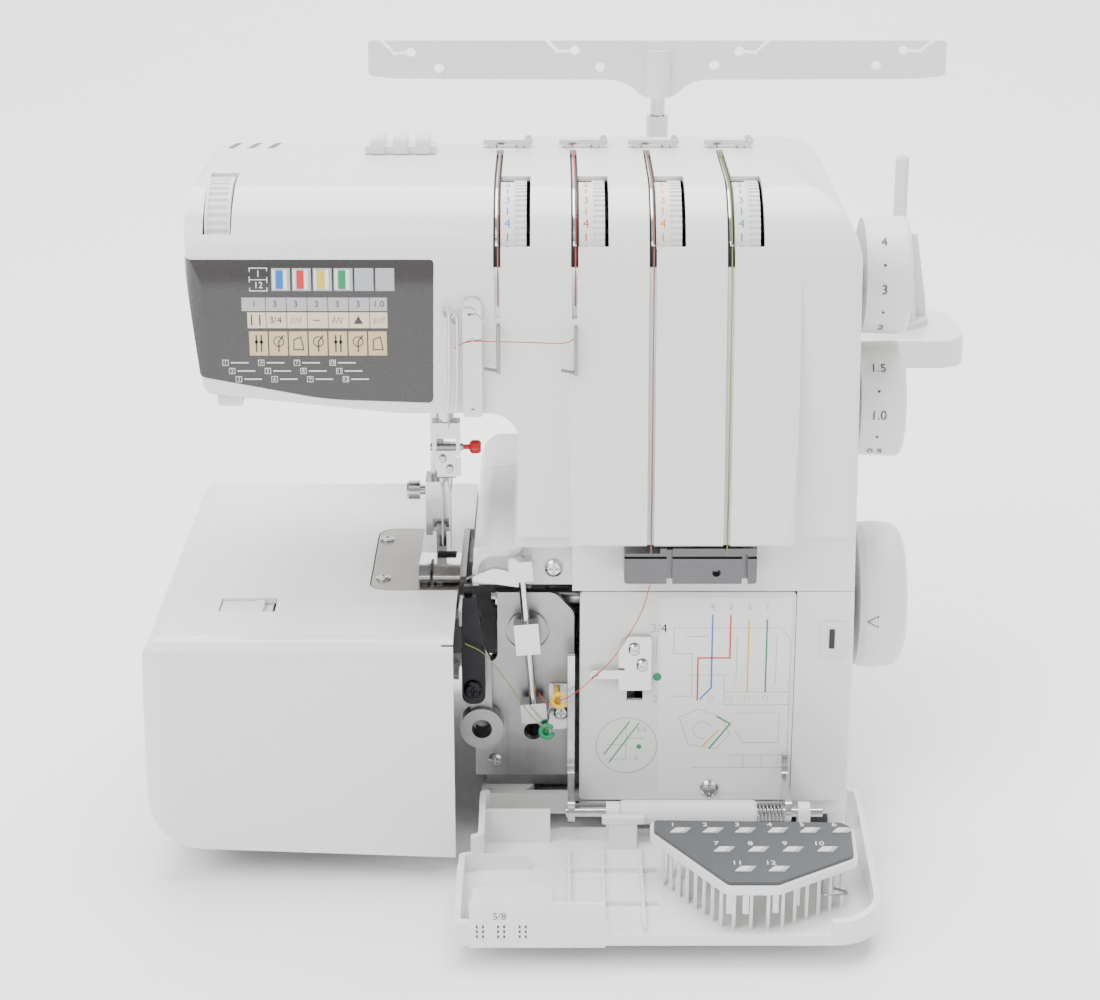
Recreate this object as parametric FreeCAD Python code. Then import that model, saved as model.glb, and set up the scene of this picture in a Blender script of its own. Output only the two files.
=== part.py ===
import FreeCAD, Part
import math
import os

# Household four-thread serger, in millimetres.
# Layout axes: X to the right, Y to the back, Z up from the table, with X = 0
# 45 mm to the right of the needle and Y = 0 on the needle line.  PLACE moves
# the whole machine so that its box stands centred on the origin.

V = FreeCAD.Vector
PLACE = V(-14.45, -13.6, 0.0)

# Covers
WALL = 2.5
SEAM = 0.4
TOP = 288.0
ARM_LEFT = -148.0
ARM_FRONT = -50.0
ARM_BACK = 78.0
ARM_UNDER = 197.5
BODY_BACK = 117.0
BODY_LEFT = -33.0
RIGHT_TOP = 125.7
RIGHT_FOOT = 131.4
EDGE_R = 38.0
COVER_SPLIT = 68.0
COVER_FOOT = 117.0
BODY_FOOT = 18.0
LOW_FRONT = -46.0
LEDGE_TOP = 133.0
PANEL_FOOT = 143.0
PANEL_FRONT = -62.0
PANEL_LEFT = 8.0
PANEL_RIGHT = 102.0

# Table height parts
FOOT_R = 9.0
FOOT_HEIGHT = 10.0
BASE_TOP = 20.0
BED_TOP = 110.0
BED_LEFT = -171.0
BED_FRONT = -85.0
BED_RIGHT = -35.0

# Needle line
NEEDLE_X = -45.0
NEEDLE_BAR_R = 3.2
PRESSER_X = -50.0
PRESSER_Y = 18.0
PRESSER_BAR_R = 3.0
PLATE_LEFT, PLATE_RIGHT = -78.0, -36.5
PLATE_FRONT, PLATE_BACK = -28.0, 47.0
PLATE_THICK = 3.0

# Tension dials and thread slots
DIAL_LEAN = math.radians(31.0)
DIAL_R = 24.0
DIAL_PROUD = 2.0
DIAL_SINK = EDGE_R + DIAL_PROUD - DIAL_R
DIAL_Y = ARM_FRONT + EDGE_R - DIAL_SINK * math.sin(DIAL_LEAN)
DIAL_Z = TOP - EDGE_R + DIAL_SINK * math.cos(DIAL_LEAN)
WHEEL_LEAN = math.radians(22.5)
WHEEL_Y = ARM_FRONT + EDGE_R - DIAL_SINK * math.sin(WHEEL_LEAN)
WHEEL_Z = TOP - EDGE_R + DIAL_SINK * math.cos(WHEEL_LEAN)
DIAL_LEFT = [-20.0, 11.8, 43.0, 74.8]
DIAL_WIDTH = 10.4
SLOT_X = [-21.5, 10.0, 41.7, 73.3]
SLOT_WIDTH = 3.0
SLOT_FOOT = 258.6
WHEEL_LEFT = -140.0

# Right side
SIDE_DIAL_R = 25.0
SIDE_DIAL_LEFT, SIDE_DIAL_RIGHT = 131.8, 151.0
UPPER_DIAL_Z, LOWER_DIAL_Z = 243.0, 188.2
SHAFT_Z = 97.0
SHAFT_R = 6.0
HANDWHEEL_R = 32.6
HANDWHEEL_LEFT, HANDWHEEL_RIGHT = 134.4, 155.7

# Looper cover hinge
HINGE_Y, HINGE_Z = -70.0, 24.6
HINGE_R = 2.0
COVER_LEFT, COVER_RIGHT = -38.0, 133.0
COVER_FAR = -156.0
COVER_SKIN = 9.6
CHART_Z = 33.0

# Loopers
LOOPER_Y = -46.0
LOOPER_TOP = V(-12.3, LOOPER_Y, 127.0)
LOOPER_FOOT = V(-6.9, LOOPER_Y, 61.0)
SWIVEL = V(-9.7, LOOPER_Y, 96.0)
LOWER_HUB = V(-29.5, LOOPER_Y, 52.4)
KNIFE_HUB = V(-33.0, -52.0, 75.0)

# Spool stand
TRAY_TOP = 180.0
TRAY_THICK = 14.0
TRAY_X = 51.2
TRAY_Y = 150.0
TRAY_HALF = 148.6
TRAY_FRONT, TRAY_BACK = 117.3, 183.2
PIN_R = 3.25
SHANK_R = 4.2
PIN_LENGTH = 36.0
PIN_TIP = 263.0
PIN_X = [-66.6, 18.0, 84.4, 169.0]
BAR_BOTTOM, BAR_TOP = 298.0, 317.5
BAR_HALF = 136.4
POLE_R = 3.4

# Running fit between a shaft and its bore
FIT = 0.05


def box(x0, x1, y0, y1, z0, z1):
    """Block between two corners."""
    return Part.makeBox(x1 - x0, y1 - y0, z1 - z0, V(x0, y0, z0))


def rod(start, axis, length, radius):
    """Round bar from a start point along an axis."""
    return Part.makeCylinder(radius, length, start, axis)


def between(a, b, radius):
    """Round bar from one point to another."""
    return Part.makeCylinder(radius, (b - a).Length, a, b - a)


def ring(start, axis, length, outer, inner):
    """Round bar with a bore."""
    return rod(start, axis, length, outer).cut(rod(start, axis, length, inner))


def turned(profile, origin, axis):
    """Solid of revolution: profile lists (distance along the axis, radius)."""
    points = [V(profile[0][0], 0, 0)]
    points += [V(along, radius, 0) for along, radius in profile]
    points += [V(profile[-1][0], 0, 0), V(profile[0][0], 0, 0)]
    face = Part.Face(Part.makePolygon(points))
    solid = face.revolve(V(0, 0, 0), V(1, 0, 0), 360)
    solid.Placement = FreeCAD.Placement(origin, FreeCAD.Rotation(V(1, 0, 0), axis))
    return solid


def inset_outline(outline, inset):
    """Move every side of an outline inwards; each corner keeps its arc's centre."""
    area = sum(
        a[0] * b[1] - b[0] * a[1] for a, b in zip(outline, outline[1:] + outline[:1])
    )
    turn = 1.0 if area > 0 else -1.0
    count = len(outline)
    result = []
    for i in range(count):
        before, here, after = outline[i - 1], outline[i], outline[(i + 1) % count]
        u = V(here[0] - before[0], here[1] - before[1], 0).normalize()
        w = V(after[0] - here[0], after[1] - here[1], 0).normalize()
        bend = (u.x * w.y - u.y * w.x) * turn
        nu = V(-u.y, u.x, 0) * turn
        nw = V(-w.y, w.x, 0) * turn
        move = (nu + nw) * (inset / (1.0 + nu.dot(nw)))
        radius = here[2]
        if radius > 0:
            radius = max(radius - inset, 0.3) if bend > 0 else radius + inset
        result.append((here[0] + move.x, here[1] + move.y, radius))
    return result


def outline_wire(outline, plane):
    """Closed wire through (a, b, corner radius) points, in plane xy, xz or yz."""
    lift = {
        "xy": lambda a, b: V(a, b, 0),
        "xz": lambda a, b: V(a, 0, b),
        "yz": lambda a, b: V(0, a, b),
    }[plane]
    pieces = []
    count = len(outline)
    for i in range(count):
        before, here, after = outline[i - 1], outline[i], outline[(i + 1) % count]
        corner = V(here[0], here[1], 0)
        u = V(before[0] - here[0], before[1] - here[1], 0).normalize()
        w = V(after[0] - here[0], after[1] - here[1], 0).normalize()
        if here[2] <= 0:
            pieces.append((corner, corner, corner))
            continue
        half = math.acos(max(-1.0, min(1.0, u.dot(w)))) / 2.0
        reach = here[2] / math.tan(half)
        middle = (u + w).normalize()
        arc_mid = corner + middle * (here[2] / math.sin(half) - here[2])
        pieces.append((corner + u * reach, arc_mid, corner + w * reach))
    edges = []
    for i in range(count):
        start, mid, end = (lift(p.x, p.y) for p in pieces[i])
        if (end - start).Length > 1e-6:
            edges.append(Part.Arc(start, mid, end).toShape())
        onward = lift(pieces[(i + 1) % count][0].x, pieces[(i + 1) % count][0].y)
        if (onward - end).Length > 1e-6:
            edges.append(Part.LineSegment(end, onward).toShape())
    return Part.Wire(edges)


def prism(outline, plane, start, end):
    """Outline carried along the axis square to its plane."""
    axis = {"xy": V(0, 0, 1), "xz": V(0, 1, 0), "yz": V(1, 0, 0)}[plane]
    face = Part.Face(outline_wire(outline, plane))
    face.translate(axis * start)
    return face.extrude(axis * (end - start))


def soften(shape, radius, pick):
    """Round the edges that pick() chooses."""
    edges = [e for e in shape.Edges if pick(e)]
    return shape.makeFillet(radius, edges) if edges else shape


def at_height(z):
    """Chooser for soften(): edges that lie level at a height."""
    return lambda e: all(abs(v.Point.z - z) < 1e-4 for v in e.Vertexes)


def joined(shapes):
    """One solid out of overlapping ones, with the inner seams removed."""
    first, rest = shapes[0], shapes[1:]
    return first.multiFuse(rest).removeSplitter() if rest else first


def screw_head(centre, axis, radius, height):
    """Pan head with a cross recess, standing on a surface at centre."""
    head = turned(
        [(0, radius), (height * 0.6, radius), (height, radius * 0.7)], centre, axis
    )
    cross = V(0, 0, 1) if abs(axis.z) < 0.5 else V(0, 1, 0)
    other = axis.cross(cross)
    for direction in (cross, other):
        cut = between(
            centre + axis * height - direction * radius * 0.6,
            centre + axis * height + direction * radius * 0.6,
            radius * 0.14,
        )
        head = head.cut(cut)
    return head


# ---------------------------------------------------------------- covers

TOWER_FRONT = [
    (BODY_LEFT, BODY_FOOT, 0),
    (BODY_LEFT, LEDGE_TOP, 9.0),
    (-14.0, LEDGE_TOP, 3.0),
    (-12.5, 230.0, 0),
    (-12.5, TOP, 0),
    (RIGHT_TOP, TOP, 28.0),
    (RIGHT_FOOT, BODY_FOOT, 5.0),
]
ARM_FRONT_VIEW = [
    (ARM_LEFT, TOP, 6.0),
    (40.0, TOP, 0),
    (40.0, 160.0, 0),
    (-12.5, 160.0, 0),
    (-12.5, ARM_UNDER, 13.0),
    (-62.0, ARM_UNDER, 80.0),
    (-142.0, 206.0, 5.0),
    (ARM_LEFT, 258.0, 40.0),
]
TOWER_SIDE = [
    (LOW_FRONT, BODY_FOOT, 0),
    (BODY_BACK, BODY_FOOT, 8.0),
    (BODY_BACK, 186.0, 45.0),
    (84.0, TOP, 24.0),
    (ARM_FRONT, TOP, EDGE_R),
    (ARM_FRONT, PANEL_FOOT, 0),
    (LOW_FRONT, PANEL_FOOT, 0),
]
ARM_SIDE = [
    (ARM_FRONT, 150.0, 0),
    (ARM_BACK, 150.0, 0),
    (ARM_BACK, TOP, 24.0),
    (ARM_FRONT, TOP, EDGE_R),
]
TOWER_PLAN = [
    (BODY_LEFT, ARM_FRONT, 0),
    (RIGHT_FOOT, ARM_FRONT, 10.0),
    (RIGHT_FOOT, BODY_BACK, 30.0),
    (BODY_LEFT, BODY_BACK, 12.0),
]
ARM_PLAN = [
    (ARM_LEFT, ARM_FRONT, 8.0),
    (40.0, ARM_FRONT, 0),
    (40.0, ARM_BACK, 0),
    (ARM_LEFT, ARM_BACK, 10.0),
]
PANEL_VIEW = [
    (-150.0, 262.0, 0),
    (-47.0, 262.0, 1.5),
    (-48.0, 202.0, 2.0),
    (-92.0, 203.5, 120.0),
    (-143.2, 213.2, 3.0),
    (-150.0, 240.0, 0),
]


def body_solid(inset):
    """Tower and arm as one block, every side moved in by inset."""
    tower = prism(inset_outline(TOWER_FRONT, inset), "xz", -90, 160)
    tower = tower.common(prism(inset_outline(TOWER_SIDE, inset), "yz", -200, 200))
    tower = tower.common(prism(inset_outline(TOWER_PLAN, inset), "xy", 0, 320))
    arm = prism(inset_outline(ARM_FRONT_VIEW, inset), "xz", -90, 160)
    arm = arm.common(prism(inset_outline(ARM_SIDE, inset), "yz", -200, 200))
    arm = arm.common(prism(inset_outline(ARM_PLAN, inset), "xy", 0, 320))
    return joined([tower, arm])


def dial_window(left, width, length, lean):
    """Slanted block that opens the front-top slope over a wheel."""
    slope = V(0, -math.cos(lean), -math.sin(lean))
    out = V(0, -math.sin(lean), math.cos(lean))
    middle = V(0, ARM_FRONT + EDGE_R, TOP - EDGE_R) + out * EDGE_R
    corners = [
        middle + slope * (s * length / 2) + out * (o * 14.0)
        for s, o in ((-1, -1), (1, -1), (1, 1), (-1, 1))
    ]
    return prism([(c.y, c.z, 0.8) for c in corners], "yz", left, left + width)


def raised_panel():
    """Thicker middle of the front cover, deepest along its lower edge."""
    outline = [
        (-44.0, 259.0, 0),
        (ARM_FRONT - 0.1, 255.0, 5.0),
        (PANEL_FRONT, 156.0, 30.0),
        (PANEL_FRONT, PANEL_FOOT, 1.5),
        (-45.0, PANEL_FOOT, 0),
    ]
    block = prism(outline, "yz", PANEL_LEFT, PANEL_RIGHT)
    plan = [
        (PANEL_LEFT, PANEL_FRONT, 5.0),
        (PANEL_RIGHT, PANEL_FRONT, 5.0),
        (PANEL_RIGHT, -40.0, 0),
        (PANEL_LEFT, -40.0, 0),
    ]
    return block.common(prism(plan, "xy", 100, 300))


def thread_slots():
    """Cuts over the front edge for the four threads, to the tension discs."""
    cuts = []
    for x in SLOT_X:
        cuts.append(box(x - SLOT_WIDTH / 2, x + SLOT_WIDTH / 2, -60, 42, SLOT_FOOT, 300))
    return cuts


def thread_channels():
    """Shallow channels under the slots: short on the left, down the panel on the right."""
    cuts = [box(x - 1.1, x + 1.1, -70, ARM_FRONT + 1.2, 238.0, 262.0) for x in SLOT_X[:2]]
    for x in SLOT_X[2:]:
        outline = [
            (-80.0, 262.0, 0),
            (ARM_FRONT + 2.3, 262.0, 0),
            (PANEL_FRONT + 3.0, 156.0, 0),
            (PANEL_FRONT + 3.0, 140.0, 0),
            (-80.0, 140.0, 0),
        ]
        cuts.append(prism(outline, "yz", x - SLOT_WIDTH / 2, x + SLOT_WIDTH / 2))
    return cuts


def cover_shell():
    """Hollow tower and arm, before it is split into covers."""
    return body_solid(0.0).cut(body_solid(WALL))


def lever_opening():
    """Way through the arm's underside for the lifting lever."""
    return box(-60, -42, 34, 73, 190, 206)


def front_cover(shell):
    """Front and top cover with the windows, slots and raised panel."""
    cover = shell.common(box(-160, 140, -90, COVER_SPLIT, COVER_FOOT, 300))
    cover = cover.cut(box(-40, 9.5, -50, -40, 100, 137))
    niche = [box(-32.5, -12.5, -38.5, -36.0, COVER_FOOT, LEDGE_TOP),
             box(-13.2, 9.5, -38.5, -36.0, COVER_FOOT, 139.4),
             box(-13.2, 9.5, LOW_FRONT, -36.0, 137.0, 139.4),
             box(9.5, 12.0, LOW_FRONT, -36.0, COVER_FOOT, 139.4)]
    cover = joined([cover, raised_panel()] + niche)
    cuts = thread_slots() + thread_channels()
    cuts += [dial_window(x - 0.4, DIAL_WIDTH + 2.0, 41.0, DIAL_LEAN) for x in DIAL_LEFT]
    cuts.append(dial_window(WHEEL_LEFT - 0.6, DIAL_WIDTH + 1.2, 42.0, WHEEL_LEAN))
    cuts.append(box(-66, -28, -14, 34, 190, 206))
    cuts.append(lever_opening())
    for i in range(3):
        vent = prism(
            [(-139.0, 44.0, 1.4), (-136.0, 44.0, 1.4), (-136.0, 58.0, 1.4),
             (-139.0, 58.0, 1.4)],
            "xy", TOP - 8, TOP + 2,
        )
        vent.rotate(V(-137.5, 51.0, TOP), V(0, 0, 1), -14)
        vent.translate(V(i * 8.6, 0, 0))
        cuts.append(vent)
    cuts.append(box(-70.0, -58.0, 36.0, 40.0, TOP - 5, TOP + 2))
    cuts.append(prism(PANEL_VIEW, "xz", -60, -37).cut(body_solid(0.8)))
    for z in (UPPER_DIAL_Z, LOWER_DIAL_Z):
        cuts.append(rod(V(115, 0, z), V(1, 0, 0), 30, 8.4))
    return cover.cut(cuts)


def rear_cover(shell):
    """Back cover with the lower right side and the frame round the looper bay."""
    back = shell.common(box(-160, 140, COVER_SPLIT + SEAM, 130, COVER_FOOT - 1, 300))
    low = shell.common(box(-160, 140, -90, 130, 0, COVER_FOOT - SEAM))
    cover = joined([back, low])
    cuts = [
        box(-40, 104.8 + 0.3, -60, -40, 10, 120),
        box(-40, -25, -48, 60, 10, 120),
        rod(V(115, 0, SHAFT_Z), V(1, 0, 0), 30, SHAFT_R + 2.4),
        box(125, 140, 54.7, 85.3, 29.7, 50.3),
        box(125, 140, 58.9, 81.1, 59.6, 73.4),
        box(-30, 128, -43, 114, 10, 21.5),
        prism(inset_outline(BASE_PLAN, -0.3), "xy", 0, BASE_TOP + 0.3),
        lever_opening(),
    ]
    for i in range(9):
        cuts.append(box(20, 80, 110, 120, 40 + i * 8, 43.2 + i * 8))
    return cover.cut(cuts)


def program_panel():
    """Dark printed panel that wraps the front of the arm."""
    skin = body_solid(-0.3).cut(body_solid(0.8))
    return skin.common(prism(inset_outline(PANEL_VIEW, 0.15), "xz", -60, -37.2))


def takeup_cover():
    """Grey metal strip over the needle thread take-up, notched at the top."""
    plate = prism(
        [(-35.5, 197.0, 1.0), (-27.7, 197.0, 1.0), (-27.7, 247.0, 3.0),
         (-35.5, 247.0, 3.0)],
        "xz", -53.4, -50.1,
    )
    plate = plate.cut(box(-33.2, -30.0, -56, -51.4, 240.0, 250.0))
    return plate.cut(box(-32.3, -30.9, -56, -52.4, 200.0, 240.0))


def diagram_plate():
    """Flat inner cover beside the looper bay, with the selector's slot."""
    plate = prism(
        [(12.8, 18.4, 2.0), (104.8, 18.4, 2.0), (104.8, 116.4, 2.0),
         (12.8, 116.4, 2.0)],
        "xz", LOW_FRONT, LOW_FRONT + 2.5,
    )
    return plate.cut(box(33.0, 40.0, -50, -40, 66.0, 92.0))


# ---------------------------------------------------------------- base and frame

FOOT_PLACES = [(-18.0, -31.0), (115.0, -31.0), (-18.0, 101.0), (115.0, 101.0)]


BASE_PLAN = [
    (-30.0, -43.0, 4.0), (128.0, -43.0, 6.0), (128.0, 114.0, 26.0), (-30.0, 114.0, 8.0),
]


def rubber_feet():
    """Four round feet, let into the base."""
    feet = []
    for x, y in FOOT_PLACES:
        profile = [
            (0, FOOT_R - 1.0), (1.0, FOOT_R), (FOOT_HEIGHT, FOOT_R - 1.0),
            (FOOT_HEIGHT + 2.0, FOOT_R - 2.5),
        ]
        feet.append(turned(profile, V(x, y, 0), V(0, 0, 1)))
    return Part.makeCompound(feet)


def base_plate():
    """Pan under the tower."""
    outline = BASE_PLAN
    pan = prism(outline, "xy", FOOT_HEIGHT, BASE_TOP)
    pan = pan.cut(prism(inset_outline(outline, 3.0), "xy", FOOT_HEIGHT + 3, BASE_TOP))
    posts = [
        rod(V(x, y, FOOT_HEIGHT), V(0, 0, 1), 10.0, FOOT_R + 2) for x, y in FOOT_PLACES
    ]
    pan = joined([pan] + posts)
    sockets = []
    for x, y in FOOT_PLACES:
        sockets.append(rod(V(x, y, FOOT_HEIGHT), V(0, 0, 1), 2.0, FOOT_R - 1.0))
    return pan.cut(sockets)


def frame_casting():
    """Die-cast frame: floor, two walls, upper beam and free arm."""
    floor = box(-28, 120, -34, 108, BASE_TOP, BASE_TOP + 6)
    left = prism(
        [(-33.0, 62.0, 0), (-8.0, 62.0, 0), (-8.0, 26.0, 0), (100.0, 26.0, 0),
         (100.0, 90.0, 20.0), (70.0, 215.0, 20.0), (50.0, 250.0, 12.0),
         (14.0, 250.0, 8.0), (14.0, 160.0, 30.0), (-33.0, 110.0, 12.0)],
        "yz", -8.0, -2.0,
    )
    right = prism(
        [(-33.0, 26.0, 0), (100.0, 26.0, 0), (100.0, 90.0, 20.0), (60.0, 250.0, 12.0),
         (14.0, 250.0, 8.0), (14.0, 160.0, 30.0), (-33.0, 110.0, 12.0)],
        "yz", 102.0, 108.0,
    )
    beam = prism(
        [(24.0, 214.0, 3.0), (48.0, 214.0, 3.0), (48.0, 250.0, 3.0),
         (24.0, 250.0, 3.0)],
        "yz", -130.0, 108.0,
    )
    beam = beam.cut(prism(
        [(28.0, 220.0, 0), (44.0, 220.0, 0), (44.0, 252.0, 0), (28.0, 252.0, 0)],
        "yz", -126.0, 104.0,
    ))
    head_low = box(-62, -36, -8, 26, 210, 222)
    head_high = box(-62, -36, -8, 26, 244, 256)
    arm_rail = box(-138, -2.0, 14, 40, 62, 78)
    arm_top = box(-138, -60.0, -24, 44, 98, 106.4)
    arm_back = box(-138, -2.0, 14, 44, 78, 106.4)
    arm_front = box(-138, -68.0, -24, -18, 62, 100)
    arm_end = box(-138, -132.0, -24, 44, 62, 106.4)
    casting = joined([
        floor, left, right, beam, head_low, head_high, arm_rail, arm_top, arm_back,
        arm_front, arm_end,
    ])
    holes = [
        rod(V(-10, 0, SHAFT_Z), V(1, 0, 0), 130, SHAFT_R + 3.0),
        rod(V(100, 62, 58), V(1, 0, 0), 10, 12.0),
        box(-59.5, -41.0, 9.0, 36.0, 99.8, 108.0),
        rod(V(NEEDLE_X, 0, 200), V(0, 0, 1), 70, NEEDLE_BAR_R + 2.0),
        rod(V(PRESSER_X, PRESSER_Y, 200), V(0, 0, 1), 70, PRESSER_BAR_R + 2.0),
    ]
    return casting.cut(holes)


def bushes():
    """Sintered bushes of the main shaft, the needle bar and the presser bar."""
    pieces = []
    for x in (-8.0, 102.0):
        pieces.append(ring(V(x, 0, SHAFT_Z), V(1, 0, 0), 6.0, SHAFT_R + 3.0, SHAFT_R + FIT))
    for z in (210.0, 244.0):
        pieces.append(ring(
            V(NEEDLE_X, 0, z), V(0, 0, 1), 12.0, NEEDLE_BAR_R + 2.0, NEEDLE_BAR_R + FIT))
        pieces.append(ring(
            V(PRESSER_X, PRESSER_Y, z), V(0, 0, 1), 12.0,
            PRESSER_BAR_R + 2.0, PRESSER_BAR_R + FIT))
    return Part.makeCompound(pieces)


def looper_plate():
    """Machined plate behind the loopers, in two halves with a split line."""
    outline = [
        (-32.6, 26.6, 0), (10.4, 26.6, 0), (10.4, 104.0, 6.0), (2.0, 113.0, 6.0),
        (-22.6, 113.0, 0), (-22.6, 82.0, 4.0), (-32.6, 78.0, 0),
    ]
    plate = prism(outline, "xz", -38.0, -34.0)
    split = box(-18.8, -18.2, -39, -37.0, 26, 60)
    bore = rod(V(LOWER_HUB.x, -39, LOWER_HUB.z), V(0, 1, 0), 6, 4.3)
    hole = rod(V(-7.4, -39, 47.6), V(0, 1, 0), 6, 4.0)
    recess = rod(V(SWIVEL.x, -39, SWIVEL.z), V(0, 1, 0), 2.0, 9.7)
    boss = rod(V(SWIVEL.x, -38.6, SWIVEL.z), V(0, 1, 0), 2.0, 8.4)
    return joined([plate.cut([split, bore, hole, recess]), boss])


def motor():
    """Mains motor low down in the tower."""
    can = turned([(0, 20), (3, 24), (52, 24), (56, 19)], V(36, 62, 58), V(1, 0, 0))
    shaft = rod(V(92, 62, 58), V(1, 0, 0), 4.0, 8.0)
    foot = box(40, 84, 44, 80, BASE_TOP + 6, 40)
    return joined([can, foot, shaft])


def drive_belt():
    """Toothed belt round the main pulley and the motor pulley."""
    def loop(extra):
        a, b = V(0, 0, SHAFT_Z), V(0, 62, 58)
        ra, rb = 28.0 + extra, 9.0 + extra
        along = b - a
        gap = along.Length
        lean = math.acos((ra - rb) / gap)
        base = math.atan2(along.z, along.y)
        def on(centre, radius, angle):
            return centre + V(0, math.cos(angle), math.sin(angle)) * radius
        p1, p2 = on(a, ra, base + lean), on(b, rb, base + lean)
        p3, p4 = on(b, rb, base - lean), on(a, ra, base - lean)
        wire = Part.Wire([
            Part.LineSegment(p1, p2).toShape(),
            Part.Arc(p2, on(b, rb, base), p3).toShape(),
            Part.LineSegment(p3, p4).toShape(),
            Part.Arc(p4, on(a, ra, base + math.pi), p1).toShape(),
        ])
        return Part.Face(wire)
    band = loop(2.3).extrude(V(7.4, 0, 0)).cut(loop(0.3).extrude(V(7.4, 0, 0)))
    band.translate(V(112.0, 0, 0))
    return band


def power_inlet():
    """Three-pin appliance inlet in the right side."""
    block = box(122.4, 133.9, 55, 85, 30, 50)
    well = prism(
        [(59.0, 34.0, 1.5), (81.0, 34.0, 1.5), (81.0, 46.0, 4.0), (59.0, 46.0, 4.0)],
        "yz", 124.0, 135.0,
    )
    block = block.cut(well)
    pins = [box(123, 131, y - 1.0, y + 1.0, 38, 42) for y in (63.0, 70.0, 77.0)]
    return joined([block] + pins)


def sewing_lamp():
    """Lamp under the arm, behind the front edge."""
    holder = box(-64, -50, -12, -4, 200.2, 209.8)
    lens = rod(V(-57, -8, 197.8), V(0, 0, 1), 2.6, 3.2)
    return joined([holder, lens])


# ---------------------------------------------------------------- needle line

def needle_plate():
    """Steel throat plate with feed slots and the needle opening."""
    outline = [
        (PLATE_LEFT, PLATE_FRONT, 8.0), (PLATE_RIGHT, PLATE_FRONT, 1.0),
        (PLATE_RIGHT, PLATE_BACK, 1.0), (PLATE_LEFT, PLATE_BACK, 8.0),
    ]
    plate = prism(outline, "xy", BED_TOP - PLATE_THICK, BED_TOP)
    plate = soften(plate, 0.5, at_height(BED_TOP))
    cuts = [box(-50.0, -41.0, -4.0, 5.0, 100, 115)]
    for x in (-56.0, -50.5, -44.0):
        cuts.append(box(x - 1.7, x + 1.7, 9.0, 36.0, 100, 115))
    for x in (-54.5, -48.0):
        cuts.append(box(x - 1.7, x + 1.7, -23.0, -8.0, 100, 115))
    cuts.append(box(-39.6, -34.0, -32.0, -12.0, 100, 115))
    return plate.cut(cuts)


def feed_dogs():
    """Main and differential feed dogs, level in their slots."""
    pieces = [box(-57.5, -42.5, 10.5, 34.5, 100.5, 105.0)]
    teeth_z = 108.4
    for x in (-56.0, -50.5, -44.0):
        bar = box(x - 1.2, x + 1.2, 10.5, 34.5, 104.0, teeth_z)
        teeth = []
        for i in range(12):
            y = 10.5 + i * 2.0
            teeth.append(prism(
                [(y, teeth_z - 0.2, 0), (y + 1.9, teeth_z - 0.2, 0),
                 (y + 1.5, teeth_z + 1.2, 0)],
                "yz", x - 1.2, x + 1.2))
        pieces.append(bar.multiFuse(teeth))
    main = joined(pieces)
    second = [box(-56.0, -46.5, -21.5, -9.5, 100.5, 105.0)]
    for x in (-54.5, -48.0):
        bar = box(x - 1.2, x + 1.2, -21.5, -9.5, 104.0, teeth_z)
        second.append(bar)
        for i in range(6):
            y = -21.5 + i * 2.0
            second.append(prism(
                [(y, teeth_z - 0.2, 0), (y + 1.9, teeth_z - 0.2, 0),
                 (y + 1.5, teeth_z + 1.2, 0)],
                "yz", x - 1.2, x + 1.2))
    return Part.makeCompound([main, joined(second)])


def needle_bar():
    """Needle bar with the forked end that carries the clamp."""
    bar = rod(V(NEEDLE_X, 0, 171.5), V(0, 0, 1), 100.0, NEEDLE_BAR_R)
    fork = box(NEEDLE_X - 6, NEEDLE_X + 6, -4, 4, 171.0, 178.0)
    ears = [box(NEEDLE_X - 6, NEEDLE_X - 4.3, -4, 4, 163, 172),
            box(NEEDLE_X + 4.3, NEEDLE_X + 6, -4, 4, 163, 172)]
    pin = rod(V(NEEDLE_X - 7.2, 0, 166.0), V(1, 0, 0), 14.4, 1.5)
    return joined([bar, fork, pin] + ears)


def needle_clamp():
    """Swinging clamp block for the two needles."""
    block = prism(
        [(-4.0, 152.7, 1.0), (4.0, 152.7, 1.0), (4.0, 168.0, 3.0), (-4.0, 168.0, 3.0)],
        "yz", NEEDLE_X - 4.0, NEEDLE_X + 4.0,
    )
    block = block.cut(rod(V(NEEDLE_X - 5, 0, 166.0), V(1, 0, 0), 10, 1.5 + FIT))
    wing = box(NEEDLE_X + 3.9, NEEDLE_X + 6.2, -3, 3, 153.4, 160.0)
    clamp = joined([block, wing])
    bores = [rod(V(x, -1, 150), V(0, 0, 1), 12.0, 1.0) for x in (-47.2, -43.6)]
    clamp = clamp.cut(bores)
    screws = [screw_head(V(x, -3.98, z), V(0, -1, 0), 1.7, 1.6)
              for x, z in ((-46.6, 162.0), (-43.6, 157.4))]
    return joined([clamp] + screws)


def needles():
    """Two needles, flat shank above and thin blade below."""
    pieces = []
    for x, drop in ((-47.2, 0.0), (-43.6, 1.6)):
        profile = [
            (0, 0.15), (3.0, 0.42), (27.0, 0.42), (30.0, 1.0), (41.5, 1.0),
        ]
        pieces.append(turned(profile, V(x, -1, 120.4 - drop), V(0, 0, 1)))
    return Part.makeCompound(pieces)


def clamp_knob():
    """Red knob on a thin pin, in line with the fork's cross pin."""
    pin = rod(V(NEEDLE_X + 7.2, 0, 166.0), V(1, 0, 0), 5.0, 1.1)
    knob = turned(
        [(0, 2.0), (1.0, 3.0), (4.0, 3.0), (5.0, 2.2)],
        V(NEEDLE_X + 10.0, 0, 166.0), V(1, 0, 0),
    )
    return joined([pin, knob])


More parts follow.
